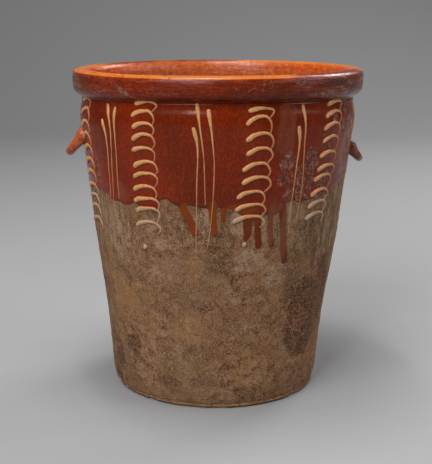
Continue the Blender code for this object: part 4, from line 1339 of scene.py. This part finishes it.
class RollRim(bpy.types.Operator):
    """Make the rolled rim: slanting lip, crisp edge, face and dark underside"""

    bl_idname = "confit_pot.roll_rim"
    bl_label = "Rolled rim"

    def execute(self, context):
        azimuth = columns_round(2 * context.scene.pot_shape.columns)
        inward, levels = curve_through(np.array(RIM_OUTLINE) / MM, RIM_ROWS).T
        levels = rim_seat + levels * ((pot_height - rim_seat) / levels.max())
        azimuths, heights = np.meshgrid(azimuth, levels)
        inward = np.broadcast_to(inward[:, None], heights.shape)
        seated = smooth(heights, rim_seat, rim_seat + RIM_SEATING)
        wobble = sum(uneven(kind, azimuths, heights) for kind in ("rim", "rim lumps", "rim streaks")) * seated
        rise = uneven("lip", azimuths, heights) * smooth(heights, pot_height - LIP_HEIGHT, pot_height)
        grid = turn_rows(azimuths, rim_radius - inward + wobble, heights + rise)
        outer = smooth(inward, *RIM_FACE)
        values = {kind: mark(places, azimuths, heights) * outer for kind, places in RIM_MARKS.items()}
        values["scratch"] = score(RIM_SCRATCHES, azimuths, heights, RIM_SCRATCH_WIDTH) * outer
        values["lip"] = smooth(pot_height - heights, *LIP_EDGE) * lip_wear(azimuths)
        skin = Skin()
        skin.add(grid, True, inside=smooth(inward, *RIM_INSIDE), **values)
        add_piece("rolled_rim", skin, make_rim_finish(), "rim_glaze", RIM_NODE)
        return {"FINISHED"}


class PullEars(bpy.types.Operator):
    """Make the two drooping strap ears"""

    bl_idname = "confit_pot.pull_ears"
    bl_label = "Strap ears"

    def execute(self, context):
        for number, (side, (azimuth, share, body)) in enumerate(EAR_SIDES.items()):
            skin = Skin()
            skin.add(self.strap(context.scene.pot_shape, number, f"handle_{side}", azimuth, share), False)
            add_piece(f"strap_ear_{side}", skin, make_ear_finish(side, body), "ear_glaze", f"handle_{side}")
        return {"FINISHED"}

    def strap(self, shape, number, node, azimuth, share):
        """Rings of points along a strap that is bent out, down and back to the wall."""
        low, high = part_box(node)
        thickness = shape.ear_thickness * share
        turns = np.radians(np.linspace(*EAR_TURNS, EAR_STEPS))
        out = np.sin(turns)
        root_height = high.z - shape.ear_root * EAR_ROOT_SHARE
        wall = float(wall_radius(root_height))
        arch = max(abs(low.x), abs(high.x)) - wall - thickness / 2
        droop = root_height - low.z - thickness / 2
        middle = np.stack([wall + arch * out, shape.ear_half_span * np.cos(turns), root_height - droop * out], -1)
        tangent = np.gradient(middle, axis=0)
        tangent /= np.linalg.norm(tangent, axis=1)[:, None]
        upward = np.array([droop, 0, arch]) / math.hypot(droop, arch)
        sideways = np.cross(tangent, upward)
        flare = (1 - np.clip(out, 0, 1)) ** EAR_FLARE
        size = thickness / 2 + (shape.ear_root - thickness) / 2 * flare
        angle = np.radians(columns_round(EAR_COLUMNS))
        across, up = (np.sign(wave) * np.abs(wave) ** EAR_ROUNDNESS for wave in (np.cos(angle), np.sin(angle)))
        lumps = waves(np.degrees(angle)[None, :], turns[:, None], *EAR_LUMPS, EAR_SEED + number)
        reach = size[:, None] * (1 + EAR_LUMPINESS * lumps)
        groove = EAR_GROOVE * hump(angle, math.pi / 2, EAR_GROOVE_HALF)[None, :] * out.clip(0)[:, None]
        grid = middle[:, None, :] + sideways[:, None, :] * (reach * across * EAR_BREADTH)[..., None]
        grid = grid + upward * (reach * up * (EAR_DEPTH - groove))[..., None]
        return grid @ np.array(Matrix.Rotation(math.radians(azimuth - 90), 3, "Z")).T


def round_end(place, heading, width):
    """Points that carry a trail on past its end, to close it with a round end."""
    return np.array([place + heading * width / 2 * math.cos(turn) for turn in END_TURNS])


def lay_trail(skin, azimuth, route, width, rise, strip, seed):
    """Add one raised trail with round ends. Its route has columns of across, height and width share."""
    length = np.linalg.norm(np.diff(route[:, :2], axis=0), axis=1).sum()
    path = curve_through(route, max(TRAIL_STEPS, int(length / TRAIL_STEP)))
    across, height, share = path.T
    middle = path[:, :2]
    widths = width * share * (1 + TRAIL_SWELL * waves(across * TRAIL_SPREAD, height, *TRAIL_CELLS, seed))
    heading = np.stack([np.gradient(across), np.gradient(height)], -1)
    heading /= np.linalg.norm(heading, axis=1)[:, None]
    head = round_end(middle[0], -heading[0], widths[0])
    tail = round_end(middle[-1], heading[-1], widths[-1])[::-1]
    ends = len(END_TURNS)
    swell = np.sin(END_TURNS)
    middle = np.concatenate([head, middle, tail])
    widths = np.concatenate([swell * widths[0], widths, swell[::-1] * widths[-1]])
    heading = np.concatenate([np.tile(heading[0], (ends, 1)), heading, np.tile(heading[-1], (ends, 1))])
    side = np.append(np.cos(TRAIL_TURNS), TRAIL_FEET)
    lift = np.append(np.sin(TRAIL_TURNS), (0, 0))
    sunk = TRAIL_SINK * (np.arange(len(side)) >= len(TRAIL_TURNS)) + TRAIL_OVERLAP
    offset = widths[:, None] / 2 * side
    flat_across = middle[:, 0:1] - heading[:, 1:2] * offset
    flat_height = middle[:, 1:2] + heading[:, 0:1] * offset
    azimuths = azimuth + np.degrees(flat_across / wall_radius(flat_height))
    body = np.clip(lift * (widths / width)[:, None] * TRAIL_BODY, 0, 1)
    grid = on_wall(azimuths, flat_height, widths[:, None] * rise * lift - sunk)
    skin.add(grid, False, strip, body=body, glaze_depth=glaze_depth(azimuths, flat_height))


def add_trail(name, node, skin):
    """Put a piece of trailed slip on the pot, in the slip's one material."""
    add_piece(name, skin, bpy.data.materials.get(SLIP_FINISH) or make_slip_finish(), "slip", node)


class TrailFeathers(bpy.types.Operator):
    """Trail the columns of curled strokes, each stroke running into the next"""

    bl_idname = "confit_pot.trail_feathers"
    bl_label = "Feather columns"

    def execute(self, context):
        shape = context.scene.pot_shape
        for number, feather in FEATHERS.items():
            heads, rises = self.places(number, feather)
            skin = Skin()
            count = len(heads)
            spans = np.linspace(*feather["span"], count) / MM
            for i in range(count):
                self.stroke(shape, skin, heads, rises, i, spans[i], (i / count, (i + UV_FILL) / count),
                            number * 100 + i)
            add_trail(f"trailed_feather_{number}", f"slip_feather_{number}", skin)
        return {"FINISHED"}

    def places(self, number, feather):
        """Heads and rises of a column's strokes, in metres."""
        rng = np.random.default_rng(FEATHER_SEED + number)
        if "heads" in feather:
            heads = feather["heads"]
            rises = feather["rises"]
        else:
            count = feather["count"]
            azimuths, heights = (
                np.linspace(top, bottom, count) + rng.uniform(-stray, stray, count)
                for top, bottom, stray in zip(feather["top"], feather["bottom"], HEAD_STRAY)
            )
            heads = zip(azimuths, heights)
            rises = feather["rise"] + rng.uniform(-RISE_STRAY, RISE_STRAY, count)
            rises[0] *= FIRST_RISE
        return [(azimuth, height / MM) for azimuth, height in heads], [rise / MM for rise in rises]

    def stroke(self, shape, skin, heads, rises, i, span, strip, seed):
        """One curled stroke, whose tail runs down into the next stroke's arch."""
        rng = np.random.default_rng(seed)
        azimuth, head = heads[i]
        rise = rises[i]
        span = span * rng.uniform(*SPAN_STRAY)
        route = [(span * across, head + rise * up, share) for across, up, share in STROKE]
        shift, next_head, next_rise = 0, head - LAST_DROP, rise
        if i + 1 < len(heads):
            next_azimuth, next_head = heads[i + 1]
            shift = math.radians(next_azimuth - azimuth) * float(wall_radius(head))
            next_rise = rises[i + 1]
        across_share, rise_share = TAIL_PLACE
        tail = (shift + span * across_share, next_head + next_rise * rise_share, TAIL_WIDTH)
        hook = ((route[-1][0] + tail[0]) / 2 + HOOK_BULGE, (route[-1][1] + tail[1]) / 2, HOOK_WIDTH)
        route = np.array([*route, hook, tail])
        for column in (0, 1):
            route[1:-1, column] += rng.uniform(-STROKE_STRAY, STROKE_STRAY, len(route) - 2)
        lay_trail(
            skin, azimuth, route, shape.stroke_width * rng.uniform(*WIDTH_STRAY), shape.slip_rise, strip, seed
        )


class TrailLines(bpy.types.Operator):
    """Trail the thin lines between the feather columns"""

    bl_idname = "confit_pot.trail_lines"
    bl_label = "Slip lines"

    def execute(self, context):
        shape = context.scene.pot_shape
        places_below, shares = np.array(LINE_WIDTHS, float).T
        for seed, (name, places) in enumerate(LINES.items(), LINE_SEED):
            azimuth, top = places[0]
            length = top - places[-1][1]
            below = np.append(places_below[places_below < length - LINE_END], length)
            heights = (top - below) / MM
            known = curve_through(places, LINE_STEPS)[::-1]
            azimuths = np.interp(heights, known[:, 1] / MM, known[:, 0])
            across = np.radians(azimuths - azimuth) * wall_radius(heights)
            route = np.stack([across, heights, np.interp(below, places_below, shares)], -1)
            width = shape.line_width * FAINT_LINES.get(name[0], 1)
            skin = Skin()
            lay_trail(skin, azimuth, route, width, shape.slip_rise * LINE_RISE, (0, 1), seed)
            add_trail(f"trailed_line_{name}", f"slip_line_{name}", skin)
        return {"FINISHED"}


class DripDrops(bpy.types.Operator):
    """Make the stray drops of slip"""

    bl_idname = "confit_pot.drip_drops"
    bl_label = "Slip drops"

    def execute(self, context):
        for number in (1, 2):
            low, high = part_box(f"slip_drop_{number}")
            middle = (low + high) / 2
            azimuth = math.degrees(math.atan2(middle.x, -middle.y))
            route = np.array([(across, middle.z + up, share) for across, up, share in DROP])
            skin = Skin()
            lay_trail(skin, azimuth, route, high.z - low.z - DROP_TRIM, DROP_RISE, (0, 1), DROP_SEED + number)
            add_trail(f"fallen_drop_{number}", f"slip_drop_{number}", skin)
        return {"FINISHED"}


class SetStage(bpy.types.Operator):
    """Set up the pale floor and backdrop, the lamps and the camera"""

    bl_idname = "confit_pot.set_stage"
    bl_label = "Stage"

    def execute(self, context):
        scene = context.scene
        self.sweep(scene)
        for name, place, target, size, power in LAMPS:
            self.lamp(scene, name, place, target, size, getattr(scene.pot_light, power))
        scene.world = bpy.data.worlds.new("Studio air")
        scene.world.use_nodes = True
        air = scene.world.node_tree.nodes["Background"]
        air.inputs["Color"].default_value = (1, 1, 1, 1)
        air.inputs["Strength"].default_value = scene.pot_light.sky
        self.camera(scene, scene.pot_light)
        scene.view_settings.view_transform = "Standard"
        return {"FINISHED"}

    def sweep(self, scene):
        """Floor that curves up into a backdrop."""
        profile = [(y, 0) for y in FLOOR_PLACES]
        for turn in np.radians(np.linspace(0, 90, SWEEP_STEPS + 1))[1:]:
            profile.append((FLOOR_PLACES[-1] + SWEEP_BEND * math.sin(turn), SWEEP_BEND * (1 - math.cos(turn))))
        profile.append((profile[-1][0], BACKDROP_HEIGHT))
        points = [(side, y, z) for y, z in profile for side in SWEEP_SIDES]
        count = len(SWEEP_SIDES)
        corners = (row * count + i for row in range(len(profile) - 1) for i in range(count - 1))
        faces = [(corner, corner + 1, corner + count + 1, corner + count) for corner in corners]
        mesh = bpy.data.meshes.new("studio_sweep")
        mesh.from_pydata(points, [], faces)
        mesh.shade_smooth()
        finish = Finish("Studio paper")
        colour = finish.mix(finish.noise(*PAPER_CLOUDS) * PAPER_CLOUD_SHARE, "backdrop", "backdrop_shade")
        finish.give(base_color=colour, roughness=PAPER_ROUGHNESS)
        mesh.materials.append(finish.material)
        sweep = bpy.data.objects.new("studio_sweep", mesh)
        scene.collection.objects.link(sweep)

    def lamp(self, scene, name, place, target, size, power):
        """A rectangular lamp that faces its target."""
        data = bpy.data.lights.new(name, "AREA")
        data.shape = "RECTANGLE"
        data.size, data.size_y = size
        data.energy = power
        lamp = bpy.data.objects.new(name, data)
        lamp.location = place
        lamp.rotation_euler = (Vector(target) - Vector(place)).to_track_quat("-Z", "Y").to_euler()
        scene.collection.objects.link(lamp)

    def camera(self, scene, light):
        """The photograph's camera, fitted to the pot."""
        data = bpy.data.cameras.new("photo_camera")
        data.lens = light.lens
        data.clip_start, data.clip_end = CAMERA_CLIP
        azimuth = light.camera_azimuth
        turn = Matrix.Rotation(azimuth, 4, "Z")
        pitch = Matrix.Rotation(math.pi / 2 - light.camera_pitch, 4, "X")
        roll = Matrix.Rotation(light.camera_roll, 4, "Z")
        place = Vector((math.sin(azimuth), -math.cos(azimuth), 0)) * light.camera_distance
        place.z = light.camera_height
        camera = bpy.data.objects.new("photo_camera", data)
        camera.matrix_world = Matrix.Translation(place) @ turn @ pitch @ roll
        scene.collection.objects.link(camera)
        scene.camera = camera


STEPS = (ThrowWall, LayFloor, RollRim, PullEars, TrailFeathers, TrailLines, DripDrops, SetStage)


class PotPanel(bpy.types.Panel):
    """Buttons for the pieces of the pot"""

    bl_idname = "VIEW3D_PT_confit_pot"
    bl_label = "Confit pot"
    bl_space_type = "VIEW_3D"
    bl_region_type = "UI"
    bl_category = "Confit pot"

    def draw(self, context):
        for step in STEPS:
            self.layout.operator(step.bl_idname)


SETTINGS = {"pot_shape": PotShape, "pot_colours": PotColours, "pot_light": PotLight}


def register():
    for settings in SETTINGS.values():
        bpy.utils.register_class(settings)
    for name, settings in SETTINGS.items():
        setattr(bpy.types.Scene, name, PointerProperty(type=settings))
    for step in STEPS:
        bpy.utils.register_class(step)
    bpy.utils.register_class(PotPanel)


def unregister():
    bpy.utils.unregister_class(PotPanel)
    for step in reversed(STEPS):
        bpy.utils.unregister_class(step)
    for name in SETTINGS:
        delattr(bpy.types.Scene, name)
    for settings in SETTINGS.values():
        bpy.utils.unregister_class(settings)


def main():
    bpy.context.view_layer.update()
    register()
    for step in STEPS:
        family, name = step.bl_idname.split(".")
        getattr(getattr(bpy.ops, family), name)()


if __name__ == "__main__":
    main()
